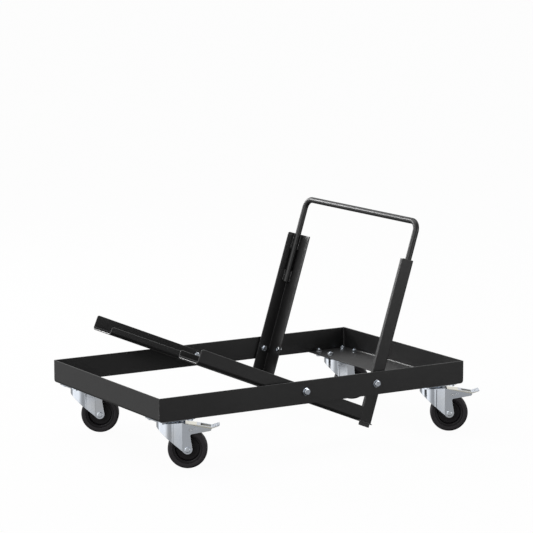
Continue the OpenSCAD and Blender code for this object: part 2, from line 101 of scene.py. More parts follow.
class Corner(Enum):
    """The four casters, each by the ending of its node and body names."""

    FL = "fl"
    FR = "fr"
    RL = "rl"
    RR = "rr"

    @property
    def braked(self) -> bool:
        """Whether the caster carries a brake."""
        return self in (Corner.FL, Corner.FR)


def operator(operation: str, reflected: bool = False) -> Callable[["Value", Any], "Value"]:
    """Makes one of the operators of Value.

    Args:
        operation: The Math node's operation.
        reflected: Whether the value stands to the right of the sign.

    Returns:
        The operator's method.
    """
    def method(value: "Value", other: Any) -> "Value":
        """Adds the operator's Math node."""
        return value.math(operation, *((other, value) if reflected else (value, other)))
    return method


class Value:
    """A number that nodes work out, with Python's operators.

    Args:
        tree: Tree that owns the nodes.
        socket: Output socket that carries the number.
    """

    def __init__(self, tree: "Tree", socket: bpy.types.NodeSocket) -> None:
        """Keeps the tree and the socket."""
        self.tree = tree
        self.socket = socket

    __add__, __radd__ = operator("ADD"), operator("ADD", True)
    __sub__, __rsub__ = operator("SUBTRACT"), operator("SUBTRACT", True)
    __mul__, __rmul__ = operator("MULTIPLY"), operator("MULTIPLY", True)
    __truediv__, __rtruediv__ = operator("DIVIDE"), operator("DIVIDE", True)

    def __neg__(self) -> "Value":
        """Negative."""
        return self.math("MULTIPLY", self, -1.0)

    def math(self, operation: str, *terms: Any) -> "Value":
        """Adds one Math node.

        Args:
            operation: The node's operation.
            terms: Numbers or values, in the order of the node's sockets.

        Returns:
            The node's result.
        """
        node = self.tree.add("ShaderNodeMath", {"operation": operation}, dict(enumerate(terms)))
        return Value(self.tree, node.outputs[0])

    def step(self, low: float, high: float) -> "Value":
        """Smooth step of the number.

        Args:
            low: Number at which the step is 0.
            high: Number at which the step is 1.

        Returns:
            The step, from 0 to 1.
        """
        node = self.tree.add("ShaderNodeMapRange", {"interpolation_type": "SMOOTHSTEP"},
                             {"Value": self, "From Min": low, "From Max": high})
        return Value(self.tree, node.outputs["Result"])


class Tree:
    """A node tree and the one way in which nodes are added to it.

    Args:
        nodes: Blender's tree.
    """

    def __init__(self, nodes: bpy.types.NodeTree) -> None:
        """Keeps Blender's tree."""
        self.nodes = nodes

    def add(self, kind: str, settings: dict[str, Any] | None = None,
            sockets: dict[int | str, Any] | None = None) -> bpy.types.Node:
        """Adds a node.

        Args:
            kind: The node's type.
            settings: Properties, set first.
            sockets: Values or links by the socket's name or number.

        Returns:
            The new node.
        """
        node = self.nodes.nodes.new(kind)
        for key, setting in (settings or {}).items():
            setattr(node, key, setting)
        for key, given in (sockets or {}).items():
            socket = node.inputs[key]
            if isinstance(given, Value):
                self.nodes.links.new(given.socket, socket)
            elif isinstance(given, bpy.types.Node):
                self.nodes.links.new(given.outputs[0], socket)
            elif isinstance(given, bpy.types.NodeSocket):
                self.nodes.links.new(given, socket)
            else:
                socket.default_value = given
        return node


@dataclass(frozen=True)
class Grain:
    """One noise of a finish: waves a metre, octaves, weight of the finer octaves, stretch along the axes.

    The span holds the noise's numbers at which patches cut from it start and are full.
    """

    scale: float
    detail: float = 2.0
    rough: float = 0.5
    stretch: tuple[float, float, float] = (1.0, 1.0, 1.0)
    span: Span = (0.0, 1.0)


class Surface(Tree):
    """Shader tree of one material.

    Args:
        name: The material's name.
    """

    def __init__(self, name: str) -> None:
        """Makes an empty material that reads Object coordinates."""
        self.material = bpy.data.materials.new(name)
        self.material.use_nodes = True
        super().__init__(self.material.node_tree)
        self.nodes.nodes.clear()
        self.place = self.add("ShaderNodeTexCoord").outputs["Object"]

    def noise(self, grain: Grain) -> Value:
        """Adds a noise in Object coordinates.

        Args:
            grain: The noise's sizes.

        Returns:
            The noise, about 0.5 in the mean.
        """
        place: Any = self.place
        if grain.stretch != (1.0, 1.0, 1.0):
            place = self.add("ShaderNodeMapping", {}, {"Vector": place, "Scale": grain.stretch})
        node = self.add("ShaderNodeTexNoise", {}, {"Vector": place, "Scale": grain.scale,
                                                   "Detail": grain.detail, "Roughness": grain.rough})
        return Value(self, node.outputs[0])

    def patches(self, grain: Grain) -> Value:
        """Patches cut from a noise, from 0 to 1."""
        return self.noise(grain).step(*grain.span)

    def mark(self, name: str) -> Value:
        """Attribute of the mesh, from 0 to 1."""
        return Value(self, self.add("ShaderNodeAttribute", {"attribute_name": name}).outputs["Fac"])

    def facing_up(self) -> Value:
        """How far the surface faces up, from -1 to 1."""
        normal = self.add("ShaderNodeNewGeometry").outputs["Normal"]
        return Value(self, self.add("ShaderNodeSeparateXYZ", {}, {0: normal}).outputs["Z"])

    def blend(self, low: Any, high: Any, mask: Value) -> bpy.types.NodeSocket:
        """Mixes two colours.

        Args:
            low: Colour where the mask is 0.
            high: Colour where the mask is 1.
            mask: Share of the second colour.

        Returns:
            The mixed colour's socket.
        """
        low, high = [(*c, 1.0) if isinstance(c, tuple) else c for c in (low, high)]
        node = self.add("ShaderNodeMix", {"data_type": "RGBA", "clamp_factor": True},
                        {0: mask, 6: low, 7: high})
        return node.outputs[2]

    def shaded(self, shade: Colour, factor: float, mask: Value) -> bpy.types.NodeSocket:
        """Mixes a colour with a darker or paler one, which is the colour times a factor."""
        return self.blend(shade, tuple(factor * c for c in shade), mask)

    def bump(self, height: Value, depth: float, below: bpy.types.Node | None = None) -> bpy.types.Node:
        """Adds relief.

        Args:
            height: Height, from 0 to 1.
            depth: Real depth of the relief.
            below: Relief that this one lies on.

        Returns:
            The Bump node.
        """
        sockets: dict[int | str, Any] = {"Height": height, "Distance": depth, "Strength": 1.0}
        if below is not None:
            sockets["Normal"] = below
        return self.add("ShaderNodeBump", {}, sockets)

    def close(self, **sockets: Any) -> bpy.types.Material:
        """Ends the tree in a Principled shader.

        Args:
            sockets: The shader's sockets, with underscores for blanks.

        Returns:
            The finished material.
        """
        named = {key.replace("_", " "): given for key, given in sockets.items()}
        shader = self.add("ShaderNodeBsdfPrincipled", {}, named)
        self.add("ShaderNodeOutputMaterial", {}, {"Surface": shader})
        return self.material


@dataclass(frozen=True)
class PowderCoat:
    """Black powder coat, baked on sheet steel."""

    shade: Colour = (0.0068, 0.0067, 0.0069)
    # Paler edge colour: partly a lean coat on the edges, partly a painted highlight along them.
    thin_paint_and_highlight: Colour = (0.060, 0.060, 0.062)
    # Colour of the pale seam specks: partly chipped coat down to the steel, partly painted glints.
    bare_metal_and_glint: Colour = (0.30, 0.30, 0.31)
    dust: Colour = (0.060, 0.058, 0.056)
    paler: float = 1.7
    gloss: float = 0.36
    ior: float = 1.48
    drift: Grain = Grain(7.0, 3.0)
    peel: Grain = Grain(520.0, 2.0, 0.45)
    waves: Grain = Grain(60.0)
    scuffs: Grain = Grain(26.0, 5.0, 0.62, (1.0, 1.0, 3.2), (0.60, 0.78))
    # Patches of the paler edge colour and of the pale seam specks, which are partly painted highlights and
    # glints.
    marked: Grain = Grain(160.0, 3.0, 0.6, span=(0.34, 0.66))
    chips_and_glints: Grain = Grain(330.0, 2.0, 0.6, span=(0.58, 0.68))
    specks: Grain = Grain(38.0, 4.0, 0.6, span=(0.42, 0.80))
    dusty: Span = (0.55, 0.98)
    filmed: Span = (0.75, 0.98)
    dust_settled: float = 0.06
    dust_scuffed: float = 0.04
    # Share of the paler edge colour, which is partly a painted highlight.
    thin_paint_and_highlight_share: float = 0.5
    rough_drift: float = 0.10
    rough_scuffs: float = 0.08
    rough_dust: float = 0.06
    rough_film: float = 0.22
    rough_edge: float = -0.06
    peel_depth: float = 0.00005
    wave_depth: float = 0.0002

    def build(self, name: str) -> bpy.types.Material:
        """Makes the material: orange peel, lean paint with a painted highlight on edges, pale seam specks of
        chipped coat and painted glints, faint dust and handling marks.

        Args:
            name: The material's name.

        Returns:
            The material.
        """
        s = Surface(name)
        drift, scuffs = s.noise(self.drift), s.patches(self.scuffs)
        # Edges are painted paler in patches: partly a lean coat, partly a painted highlight.
        edge = s.mark("edge") * s.patches(self.marked)
        # Seams are painted with pale specks: partly chipped coat, partly painted glints.
        chips_and_glints = s.mark("seam") * s.patches(self.chips_and_glints)
        settled = s.facing_up().step(*self.dusty) * s.patches(self.specks)
        film = s.facing_up().step(*self.filmed) * (1.0 - s.mark("edge"))
        colour = s.shaded(self.shade, self.paler, drift)
        colour = s.blend(colour, self.dust, settled * self.dust_settled + scuffs * self.dust_scuffed)
        # Lays on the paler edges and the seam specks, which are partly painted highlights and glints.
        colour = s.blend(s.blend(colour, self.thin_paint_and_highlight, edge * self.thin_paint_and_highlight_share), self.bare_metal_and_glint, chips_and_glints)
        rough = (self.gloss + (drift - NOISE_MEAN) * self.rough_drift + scuffs * self.rough_scuffs
                 + settled * self.rough_dust + film * self.rough_film + edge * self.rough_edge)
        relief = s.bump(s.noise(self.peel), self.peel_depth, s.bump(s.noise(self.waves), self.wave_depth))
        return s.close(Base_Color=colour, Roughness=rough, Normal=relief, IOR=self.ior)


@dataclass(frozen=True)
class ZincPlate:
    """Bright zinc, plated on pressed steel or on fasteners."""

    shade: Colour = (0.65, 0.69, 0.75)
    tint: Colour = (0.70, 0.67, 0.60)
    dull: Colour = (0.45, 0.48, 0.52)
    passive: Colour = (0.90, 0.86, 0.70)
    # Light colour of worn edges; on the leaf spring it is a painted highlight.
    worn: Colour = (0.88, 0.89, 0.90)
    gloss: float = 0.16
    cloud: Grain = Grain(34.0, 4.0, 0.6, span=(0.45, 0.90))
    stain: Grain = Grain(19.0, 2.0, span=(0.46, 0.74))
    grain: Grain = Grain(900.0, 3.0, 0.6, (1.0, 1.0, 0.18))
    pits: Grain = Grain(420.0, 2.0, 0.5, span=(0.66, 0.80))
    dull_cloud: float = 0.22
    dull_pits: float = 0.06
    tint_stain: float = 0.22
    passive_least: float = 0.55
    passive_cloud: float = 0.5
    # Share of the light edge colour: worn edges, and a painted highlight on the leaf spring.
    worn_and_highlit_share: float = 0.6
    rough_cloud: float = 0.08
    rough_grain: float = 0.06
    rough_pits: float = 0.04
    rough_edge: float = -0.04
    rough_satin: float = 0.42
    grain_depth: float = 0.000008
    cloud_depth: float = 0.00006

    def build(self, name: str) -> bpy.types.Material:
        """Makes the material: drawn grain, cloudy plating, passivation tint and light worn edges, which are a
        painted highlight on pieces marked as edge all over.

        Args:
            name: The material's name.

        Returns:
            The material.
        """
        s = Surface(name)
        cloud, grain, pits = s.noise(self.cloud), s.noise(self.grain), s.patches(self.pits)
        edge = s.mark("edge")
        dulled = cloud.step(*self.cloud.span) * self.dull_cloud + pits * self.dull_pits
        colour = s.blend(self.shade, self.dull, dulled)
        colour = s.blend(colour, self.tint, s.patches(self.stain) * self.tint_stain)
        yellow = s.mark("yellow") * (self.passive_least + cloud * self.passive_cloud)
        colour = s.blend(colour, self.passive, yellow)
        # Worn edges are paler; on the leaf spring, which is marked as edge all over, this is a painted
        # highlight.
        colour = s.blend(colour, self.worn, edge * self.worn_and_highlit_share)
        rough = (self.gloss + (cloud - NOISE_MEAN) * self.rough_cloud
                 + (grain - NOISE_MEAN) * self.rough_grain + pits * self.rough_pits
                 + edge * self.rough_edge + s.mark("satin") * self.rough_satin)
        relief = s.bump(grain, self.grain_depth, s.bump(cloud, self.cloud_depth))
        return s.close(Base_Color=colour, Roughness=rough, Metallic=1.0, Normal=relief)


@dataclass(frozen=True)
class WheelRubber:
    """Dark grey rubber of the tyres."""

    shade: Colour = (0.0138, 0.0112, 0.0142)
    worn: Colour = (0.060, 0.056, 0.058)
    darker: float = 0.62
    gloss: float = 0.46
    specular: float = 0.40
    cloud: Grain = Grain(45.0, 4.0, 0.6)
    grain: Grain = Grain(1500.0)
    scuffs: Grain = Grain(240.0, 4.0, 0.65, span=(0.34, 0.72))
    worn_tread: float = 0.55
    rough_cloud: float = 0.14
    rough_tread: float = 0.22
    grain_depth: float = 0.00006
    scuff_depth: float = 0.0003

    def build(self, name: str) -> bpy.types.Material:
        """Makes the material: fine grain, a scuffed dusty tread and cloudy sides.

        Args:
            name: The material's name.

        Returns:
            The material.
        """
        s = Surface(name)
        cloud, scuffs = s.noise(self.cloud), s.noise(self.scuffs)
        tread = s.mark("tread") * scuffs.step(*self.scuffs.span)
        colour = s.shaded(self.shade, self.darker, cloud)
        colour = s.blend(colour, self.worn, tread * self.worn_tread)
        rough = self.gloss + (cloud - NOISE_MEAN) * self.rough_cloud + tread * self.rough_tread
        marked = s.bump(scuffs * s.mark("tread"), self.scuff_depth)
        relief = s.bump(s.noise(self.grain), self.grain_depth, marked)
        return s.close(Base_Color=colour, Roughness=rough, Normal=relief, Specular_IOR_Level=self.specular)


@dataclass(frozen=True)
class MouldedPlastic:
    """Black moulded plastic of the wheel centres."""

    shade: Colour = (0.0042, 0.0035, 0.0045)
    # Paler colour of rings on the wheel centre's steps, a painted highlight.
    marked: Colour = (0.022, 0.021, 0.022)
    paler: float = 1.9
    gloss: float = 0.38
    specular: float = 0.22
    flow: Grain = Grain(55.0, 3.0, 0.6)
    grain: Grain = Grain(1100.0, 2.0, 0.6)
    # Share of the paler ring colour, a painted highlight.
    ring_highlight_share: float = 0.6
    rough_flow: float = 0.16
    rough_grain: float = 0.10
    grain_depth: float = 0.00007

    def build(self, name: str) -> bpy.types.Material:
        """Makes the material: spark grain from the mould, flow clouding and paler rings, which are painted
        highlights on the centre's steps.

        Args:
            name: The material's name.

        Returns:
            The material.
        """
        s = Surface(name)
        flow, grain = s.noise(self.flow), s.noise(self.grain)
        colour = s.shaded(self.shade, self.paler, flow)
        # Rings marked as edges are painted paler, a painted highlight of the centre's steps.
        colour = s.blend(colour, self.marked, s.mark("edge") * self.ring_highlight_share)
        rough = (self.gloss + (flow - NOISE_MEAN) * self.rough_flow
                 + (grain - NOISE_MEAN) * self.rough_grain)
        return s.close(Base_Color=colour, Roughness=rough, Normal=s.bump(grain, self.grain_depth),
                       Specular_IOR_Level=self.specular)


def linked(name: str, data: Any) -> bpy.types.Object:
    """Makes an object of a mesh, a camera or a lamp and links it to the scene."""
    made = bpy.data.objects.new(name, data)
    bpy.context.scene.collection.objects.link(made)
    return made


class Finishes:
    """The trolley's materials, one for each look."""

    def __init__(self) -> None:
        """Builds every material."""
        makers = {
            Look.BLACK: PowderCoat(),
            Look.HARDWARE: ZincPlate(shade=(0.74, 0.79, 0.86), dull=(0.52, 0.57, 0.63), gloss=0.20,
                                     grain=Grain(900.0, 3.0, 0.6)),
            Look.PRESSING: ZincPlate(),
            Look.PLASTIC: MouldedPlastic(),
            Look.RUBBER: WheelRubber(),
        }
        self.made = {look: maker.build(look.value) for look, maker in makers.items()}

    def place(self, mesh: bpy.types.Mesh, name: str, body: str, look: Look, nodes: Iterable[str] = (),
              weighted: bool = True) -> None:
        """Makes a finished piece of a mesh.

        Args:
            mesh: The piece's mesh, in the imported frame.
            name: The piece's name.
            body: Body that it moves with.
            look: Its finish.
            nodes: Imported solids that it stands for.
            weighted: Whether large faces keep flat shading next to rounded edges.
        """
        mesh.materials.clear()
        mesh.materials.append(self.made[look])
        piece = linked(name, mesh)
        if weighted:
            even = piece.modifiers.new("even_shading", "WEIGHTED_NORMAL")
            even.keep_sharp = True
            even.weight = FLAT_WEIGHT
        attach(piece, body)
        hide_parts(*nodes)
        LOG.info("%s rides on %s, %d faces", name, body, len(mesh.polygons))


def finished(bm: bmesh.types.BMesh, name: str, smooth: float) -> bpy.types.Mesh:
    """Sets a shape's shading and turns it into a mesh.

    Args:
        bm: The shape, which is freed.
        name: The mesh's name.
        smooth: Angle in degrees below which an edge is shaded smooth.

    Returns:
        The mesh.
    """
    limit = math.radians(smooth)
    for edge in bm.edges:
        edge.smooth = len(edge.link_faces) == 2 and edge.calc_face_angle(0.0) < limit
    for face in bm.faces:
        face.smooth = True
    mesh = bpy.data.meshes.new(name)
    bm.to_mesh(mesh)
    bm.free()
    return mesh


class Solid:
    """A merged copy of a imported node's solids, to be rounded and dressed.

    Args:
        node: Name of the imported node.
    """

    def __init__(self, node: str) -> None:
        """Copies and merges the node's mesh."""
        self.node = node
        self.bm = bmesh.new()
        self.bm.from_mesh(frame["nodes"][node].data)
        bmesh.ops.remove_doubles(self.bm, verts=self.bm.verts, dist=MERGE_REACH)
        bmesh.ops.dissolve_limit(self.bm, angle_limit=FLAT_ANGLE, verts=self.bm.verts, edges=self.bm.edges)

    def _mark(self, faces: Iterable[bmesh.types.BMFace], name: str) -> None:
        """Gives faces a mark that finishes can read."""
        marks = self.bm.loops.layers.float
        layer = marks.get(name) or marks.new(name)
        for face in faces:
            for loop in face.loops:
                loop[layer] = 1.0

    def paint(self, mark: str, where: Callable[[Vector], bool] = lambda p: True) -> "Solid":
        """Marks faces.

        Args:
            mark: Name of the mark.
            where: Test of a face's middle.

        Returns:
            The solid itself.
        """
        self._mark([face for face in self.bm.faces if where(face.calc_center_median())], mark)
        return self

    def round(self, width: float, steps: int = 2, low: float = 30.0, high: float = 180.0,
              where: EdgeTest = lambda e: True, mark: str = "edge") -> "Solid":
        """Rounds edges.

        Args:
            width: How far the rounding reaches from the edge.
            steps: Faces across the rounding.
            low: Least angle between an edge's faces, in degrees.
            high: Largest angle between an edge's faces, in degrees.
            where: Further test of an edge.
            mark: Mark that the rounding gets, or nothing.

        Returns:
            The solid itself.
        """
        low, high = math.radians(low), math.radians(high)
        edges = [e for e in self.bm.edges
                 if len(e.link_faces) == 2 and low <= e.calc_face_angle(0.0) <= high and where(e)]
        made = bmesh.ops.bevel(self.bm, geom=edges, offset=width, offset_type="OFFSET", segments=steps,
                               profile=0.5, affect="EDGES", clamp_overlap=False, loop_slide=True)
        if mark:
            self._mark(made["faces"], mark)
        return self

    def islands(self) -> list[tuple[Vector, Vector]]:
        """Boxes of the separate solids.

        Returns:
            Lowest and highest corner of each, in order of place.
        """
        left, boxes = set(self.bm.verts), []
        while left:
            ring, group = [left.pop()], []
            while ring:
                vert = ring.pop()
                group.append(vert.co)
                for edge in vert.link_edges:
                    other = edge.other_vert(vert)
                    if other in left:
                        left.remove(other)
                        ring.append(other)
            boxes.append(tuple(Vector([pick(c[i] for c in group) for i in range(3)]) for pick in (min, max)))
        return sorted(boxes, key=lambda b: tuple(b[0]))

    def mesh(self, name: str, smooth: float = SMOOTH) -> bpy.types.Mesh:
        """Turns the solid into a mesh, smooth below an angle in degrees."""
        self.bm.normal_update()
        return finished(self.bm, name, smooth)


class Recipe(Tree):
    """Geometry node group with named sizes.

    Args:
        name: The group's name.
        sizes: Defaults of its inputs by name; a whole number makes a whole-number input.
    """

    def __init__(self, name: str, sizes: Sizes) -> None:
        """Makes the group's inputs and its two ends."""
        group = bpy.data.node_groups.new(name, "GeometryNodeTree")
        super().__init__(group)
        group.interface.new_socket("Geometry", in_out="INPUT", socket_type="NodeSocketGeometry")
        self.ids: dict[str, str] = {}
        for label, default in sizes.items():
            kind = "NodeSocketInt" if isinstance(default, int) else "NodeSocketFloat"
            item = group.interface.new_socket(label, in_out="INPUT", socket_type=kind)
            item.default_value = default
            self.ids[label] = item.identifier
        finish = group.interface.new_socket("Material", in_out="INPUT", socket_type="NodeSocketMaterial")
        self.ids["Material"] = finish.identifier
        group.interface.new_socket("Geometry", in_out="OUTPUT", socket_type="NodeSocketGeometry")
        self.source = self.add("NodeGroupInput")

    def size(self, label: str) -> Value:
        """One of the group's sizes."""
        return Value(self, self.source.outputs[label])

    def vector(self, x: Any, y: Any, z: Any) -> bpy.types.Node:
        """Joins three numbers to a vector."""
        return self.add("ShaderNodeCombineXYZ", {}, {0: x, 1: y, 2: z})

    def peg(self, sides: int, radius: Any, depth: Any, middle: Any = 0.0) -> bpy.types.Node:
        """Makes an upright prism.

        Args:
            sides: Number of its sides.
            radius: Distance of its corners from its axis.
            depth: Its height.
            middle: Height of its middle.

        Returns:
            The node that puts it in its place.
        """
        prism = self.add("GeometryNodeMeshCylinder", {},
                         {"Vertices": sides, "Radius": radius, "Depth": depth})
        return self.add("GeometryNodeTransform", {},
                        {"Geometry": prism, "Translation": self.vector(0.0, 0.0, middle)})

    def boolean(self, operation: str, first: bpy.types.Node, second: bpy.types.Node) -> bpy.types.Node:
        """Cuts or intersects two solids.

        Args:
            operation: DIFFERENCE or INTERSECT.
            first: Solid that is kept.
            second: Solid that cuts it.

        Returns:
            The Boolean node.
        """
        node = self.add("GeometryNodeMeshBoolean", {"operation": operation, "solver": "EXACT"})
        for part, socket in ((first, 0 if operation == "DIFFERENCE" else 1), (second, 1)):
            self.nodes.links.new(part.outputs[0], node.inputs[socket])
        return node

    def joined(self, *parts: bpy.types.Node) -> bpy.types.Node:
        """Joins geometries."""
        node = self.add("GeometryNodeJoinGeometry")
        for part in parts:
            self.nodes.links.new(part.outputs[0], node.inputs[0])
        return node

    def close(self, geometry: Any, smooth: float = SMOOTH) -> "Recipe":
        """Ends the group in Realize Instances and Set Material.

        Args:
            geometry: What the group made.
            smooth: Angle in degrees below which an edge is shaded smooth.

        Returns:
            The recipe itself.
        """
        real = self.add("GeometryNodeRealizeInstances", {}, {0: geometry})
        angle = Value(self, self.add("GeometryNodeInputMeshEdgeAngle").outputs[0])
        soft = self.add("FunctionNodeCompare", {"operation": "LESS_THAN"},
                        {0: angle, 1: math.radians(smooth)})
        edges = self.add("GeometryNodeSetShadeSmooth", {"domain": "EDGE"},
                         {"Geometry": real, "Shade Smooth": soft})
        faces = self.add("GeometryNodeSetShadeSmooth", {"domain": "FACE"},
                         {"Geometry": edges, "Shade Smooth": True})
        done = self.add("GeometryNodeSetMaterial", {},
                        {"Geometry": faces, "Material": self.source.outputs["Material"]})
        self.add("NodeGroupOutput", {}, {0: done})
        return self

    def run(self, start: bpy.types.Mesh, name: str, material: bpy.types.Material,
            sizes: Sizes) -> bpy.types.Mesh:
        """Runs the group on a mesh.

        Args:
            start: Points or paths to build on.
            name: Name of the mesh that comes out.
            material: Its material.
            sizes: Inputs to set, by name.

        Returns:
            A plain mesh.
        """
        carrier = linked(name + "_start", start)
        modifier = carrier.modifiers.new(name, "NODES")
        modifier.node_group = self.nodes
        for label, given in sizes.items():
            modifier[self.ids[label]] = given
        modifier[self.ids["Material"]] = material
        graph = bpy.context.evaluated_depsgraph_get()
        made = bpy.data.meshes.new_from_object(carrier.evaluated_get(graph), depsgraph=graph)
        made.name = name
        carrier.modifiers.remove(modifier)
        bpy.data.objects.remove(carrier)
        return made


def path_mesh(name: str, paths: Sequence[Sequence[Vector]]) -> bpy.types.Mesh:
    """Makes open paths as a mesh of edges.

    Args:
        name: The mesh's name.
        paths: Points of each path.

    Returns:
        The mesh.
    """
    points, edges = [], []
    for path in paths:
        edges += [(len(points) + i, len(points) + i + 1) for i in range(len(path) - 1)]
        points += [tuple(p) for p in path]
    mesh = bpy.data.meshes.new(name)
    mesh.from_pydata(points, edges, [])
    return mesh


def point_mesh(name: str, spots: Sequence[tuple[Vector, Vector, float]]) -> bpy.types.Mesh:
    """Makes points that each carry a turn.

    Args:
        name: The mesh's name.
        spots: Place, direction of the local Z axis and spin about it, for each point.

    Returns:
        The mesh, with the turns as an attribute.
    """
    mesh = bpy.data.meshes.new(name)
    mesh.from_pydata([tuple(place) for place, _, _ in spots], [], [])
    turns = mesh.attributes.new("turn", "FLOAT_VECTOR", "POINT")
    for i, (_, way, spin) in enumerate(spots):
        turn = way.to_track_quat("Z", "Y") @ Quaternion(UP, spin)
        turns.data[i].vector = tuple(turn.to_euler())
    return mesh


def weld_recipe() -> Recipe:
    """Weld bead: overlapping ripples along paths.

    Returns:
        The recipe.
    """
    # One size gives the share of pale specks on the beads, which are partly painted glints.
    r = Recipe("weld_bead", {"Spacing": 0.0022, "Overlap": 1.15, "Radius": 0.0024, "Unevenness": 0.18,
                             "Bare And Glint": 0.5, "Seed": 5})
    path = r.add("GeometryNodeMeshToCurve", {}, {"Mesh": r.source.outputs["Geometry"]})
    even = r.add("GeometryNodeResampleCurve", {"mode": "LENGTH"},
                 {"Curve": path, "Length": r.size("Spacing")})
    along = r.add("FunctionNodeAlignRotationToVector", {"axis": "X"},
                  {"Vector": r.add("GeometryNodeInputTangent").outputs[0]})
    spread = r.size("Unevenness")
    chance = r.add("FunctionNodeRandomValue", {"data_type": "FLOAT"},
                   {2: 1.0 - spread, 3: 1.0 + spread, 8: r.size("Seed")})
    radius = r.size("Radius") * Value(r, chance.outputs[1])
    drop = r.add("GeometryNodeMeshIcoSphere", {}, {"Radius": 1.0, "Subdivisions": 2})
    beads = r.add("GeometryNodeInstanceOnPoints", {},
                  {"Points": even, "Instance": drop, "Rotation": along,
                   "Scale": r.vector(r.size("Spacing") * r.size("Overlap"), radius, radius)})
    real = r.add("GeometryNodeRealizeInstances", {}, {0: beads})
    # Marks the beads for the coat's pale specks, which are partly chipped coat and partly painted glints.
    bare_metal_and_glint = r.add("GeometryNodeStoreNamedAttribute", {"data_type": "FLOAT", "domain": "POINT"},
                 {"Geometry": real, "Name": "seam", "Value": r.size("Bare And Glint")})
    return r.close(bare_metal_and_glint, smooth=60.0)


def bar_recipe() -> Recipe:
    """Round bar along a path, with bent corners.

    Returns:
        The recipe.
    """
    r = Recipe("bent_bar", {"Radius": 0.008, "Bend": 0.027, "Bend Steps": 14, "Sides": 40})
    path = r.add("GeometryNodeMeshToCurve", {}, {"Mesh": r.source.outputs["Geometry"]})
    bent = r.add("GeometryNodeFilletCurve", {"mode": "POLY"},
                 {"Curve": path, "Count": r.size("Bend Steps"), "Radius": r.size("Bend")})
    section = r.add("GeometryNodeCurvePrimitiveCircle", {},
                    {"Resolution": r.size("Sides"), "Radius": r.size("Radius")})
    return r.close(r.add("GeometryNodeCurveToMesh", {},
                         {"Curve": bent, "Profile Curve": section, "Fill Caps": True}))


def fastener_recipe() -> Recipe:
    """Hexagon head or nut with a chamfered crown, a plain shank and a thread, on each point.

    Returns:
        The recipe.
    """
    r = Recipe("hex_fastener", {"Across Flats": 0.013, "Height": 0.0053, "Bore": 0.0, "Dish": 0.0045,
                                "Dish Depth": 0.0004, "Shank": 0.0, "Thread Radius": 0.004,
                                "Thread Start": 0.0, "Thread Length": 0.0, "Pitch": 0.00125})
    crown_share, shank_share, root_share = 0.475, 0.9, 0.86
    drill, sides, crown_sides, thread_sides = 0.05, 32, 48, 28
    flats, height, shank = r.size("Across Flats"), r.size("Height"), r.size("Shank")
    prism = r.peg(6, flats / math.sqrt(3.0), height, height * 0.5)
    crown = r.add("GeometryNodeMeshCone", {},
                  {"Vertices": crown_sides, "Radius Top": flats * crown_share, "Depth": height,
                   "Radius Bottom": flats * crown_share + height * math.sqrt(3.0)})
    head = r.boolean("INTERSECT", prism, crown)
    head = r.boolean("DIFFERENCE", head, r.peg(sides, r.size("Dish"), r.size("Dish Depth") * 2.0, height))
    head = r.boolean("DIFFERENCE", head, r.peg(sides, r.size("Bore"), drill))
    thread_r, pitch = r.size("Thread Radius"), r.size("Pitch")
    stem = r.peg(sides, thread_r * shank_share, shank, shank * -0.5)
    tooth = r.add("GeometryNodeMeshCone", {}, {"Vertices": thread_sides, "Radius Top": thread_r * root_share,
                                               "Radius Bottom": thread_r, "Depth": pitch})
    rings = r.add("GeometryNodeMeshLine", {"mode": "OFFSET"},
                  {"Count": r.size("Thread Length") / pitch, "Offset": r.vector(0.0, 0.0, pitch),
                   "Start Location": r.vector(0.0, 0.0, r.size("Thread Start"))})
    thread = r.add("GeometryNodeInstanceOnPoints", {}, {"Points": rings, "Instance": tooth})
    turn = r.add("GeometryNodeInputNamedAttribute", {"data_type": "FLOAT_VECTOR"}, {"Name": "turn"})
    return r.close(r.add("GeometryNodeInstanceOnPoints", {}, {
        "Points": r.source.outputs["Geometry"], "Instance": r.joined(head, stem, thread),
        "Rotation": r.add("FunctionNodeEulerToRotation", {}, {0: turn.outputs["Attribute"]})}))


class Workshop:
    """What every sub-assembly is built with: finishes, recipes and the places that they share."""

    def __init__(self) -> None:
        """Builds finishes and recipes, and finds the base's middle and its half sizes in millimetres."""
        self.finishes = Finishes()
        self.weld = weld_recipe()
        self.bar = bar_recipe()
        self.fastener = fastener_recipe()
        left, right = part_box("left_end_tray"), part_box("right_end_tray")
        self.middle = Vector(((left[0].x + right[1].x) / 2, (left[0].y + left[1].y) / 2, 0.0))
        self.end = (right[1].x - left[0].x) / 2 / MM
        self.inner = (left[1].y - left[0].y) / 2 / MM

    def at(self, x: float, y: float, z: float) -> Vector:
        """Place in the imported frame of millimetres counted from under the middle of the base."""
        return self.middle + Vector((x, y, z)) * MM

    def dress(self, solid: Solid, name: str, body: str, look: Look, smooth: float = SMOOTH) -> None:
        """Makes a piece of a rounded solid.

        Args:
            solid: The rounded solid.
            name: The piece's name.
            body: Body that it moves with.
            look: Its finish.
            smooth: Angle in degrees below which an edge is shaded smooth.
        """
        self.finishes.place(solid.mesh(name, smooth), name, body, look, [solid.node])

    def grow(self, recipe: Recipe, start: bpy.types.Mesh, name: str, body: str, look: Look, sizes: Sizes,
             nodes: Iterable[str] = ()) -> None:
        """Makes a piece with a recipe.

        Args:
            recipe: The recipe.
            start: Points or paths.
            name: The piece's name.
            body: Body that it moves with.
            look: Its finish.
            sizes: The recipe's inputs, by name.
            nodes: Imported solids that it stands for.
        """
        mesh = recipe.run(start, name, self.finishes.made[look], sizes)
        self.finishes.place(mesh, name, body, look, nodes, weighted=False)


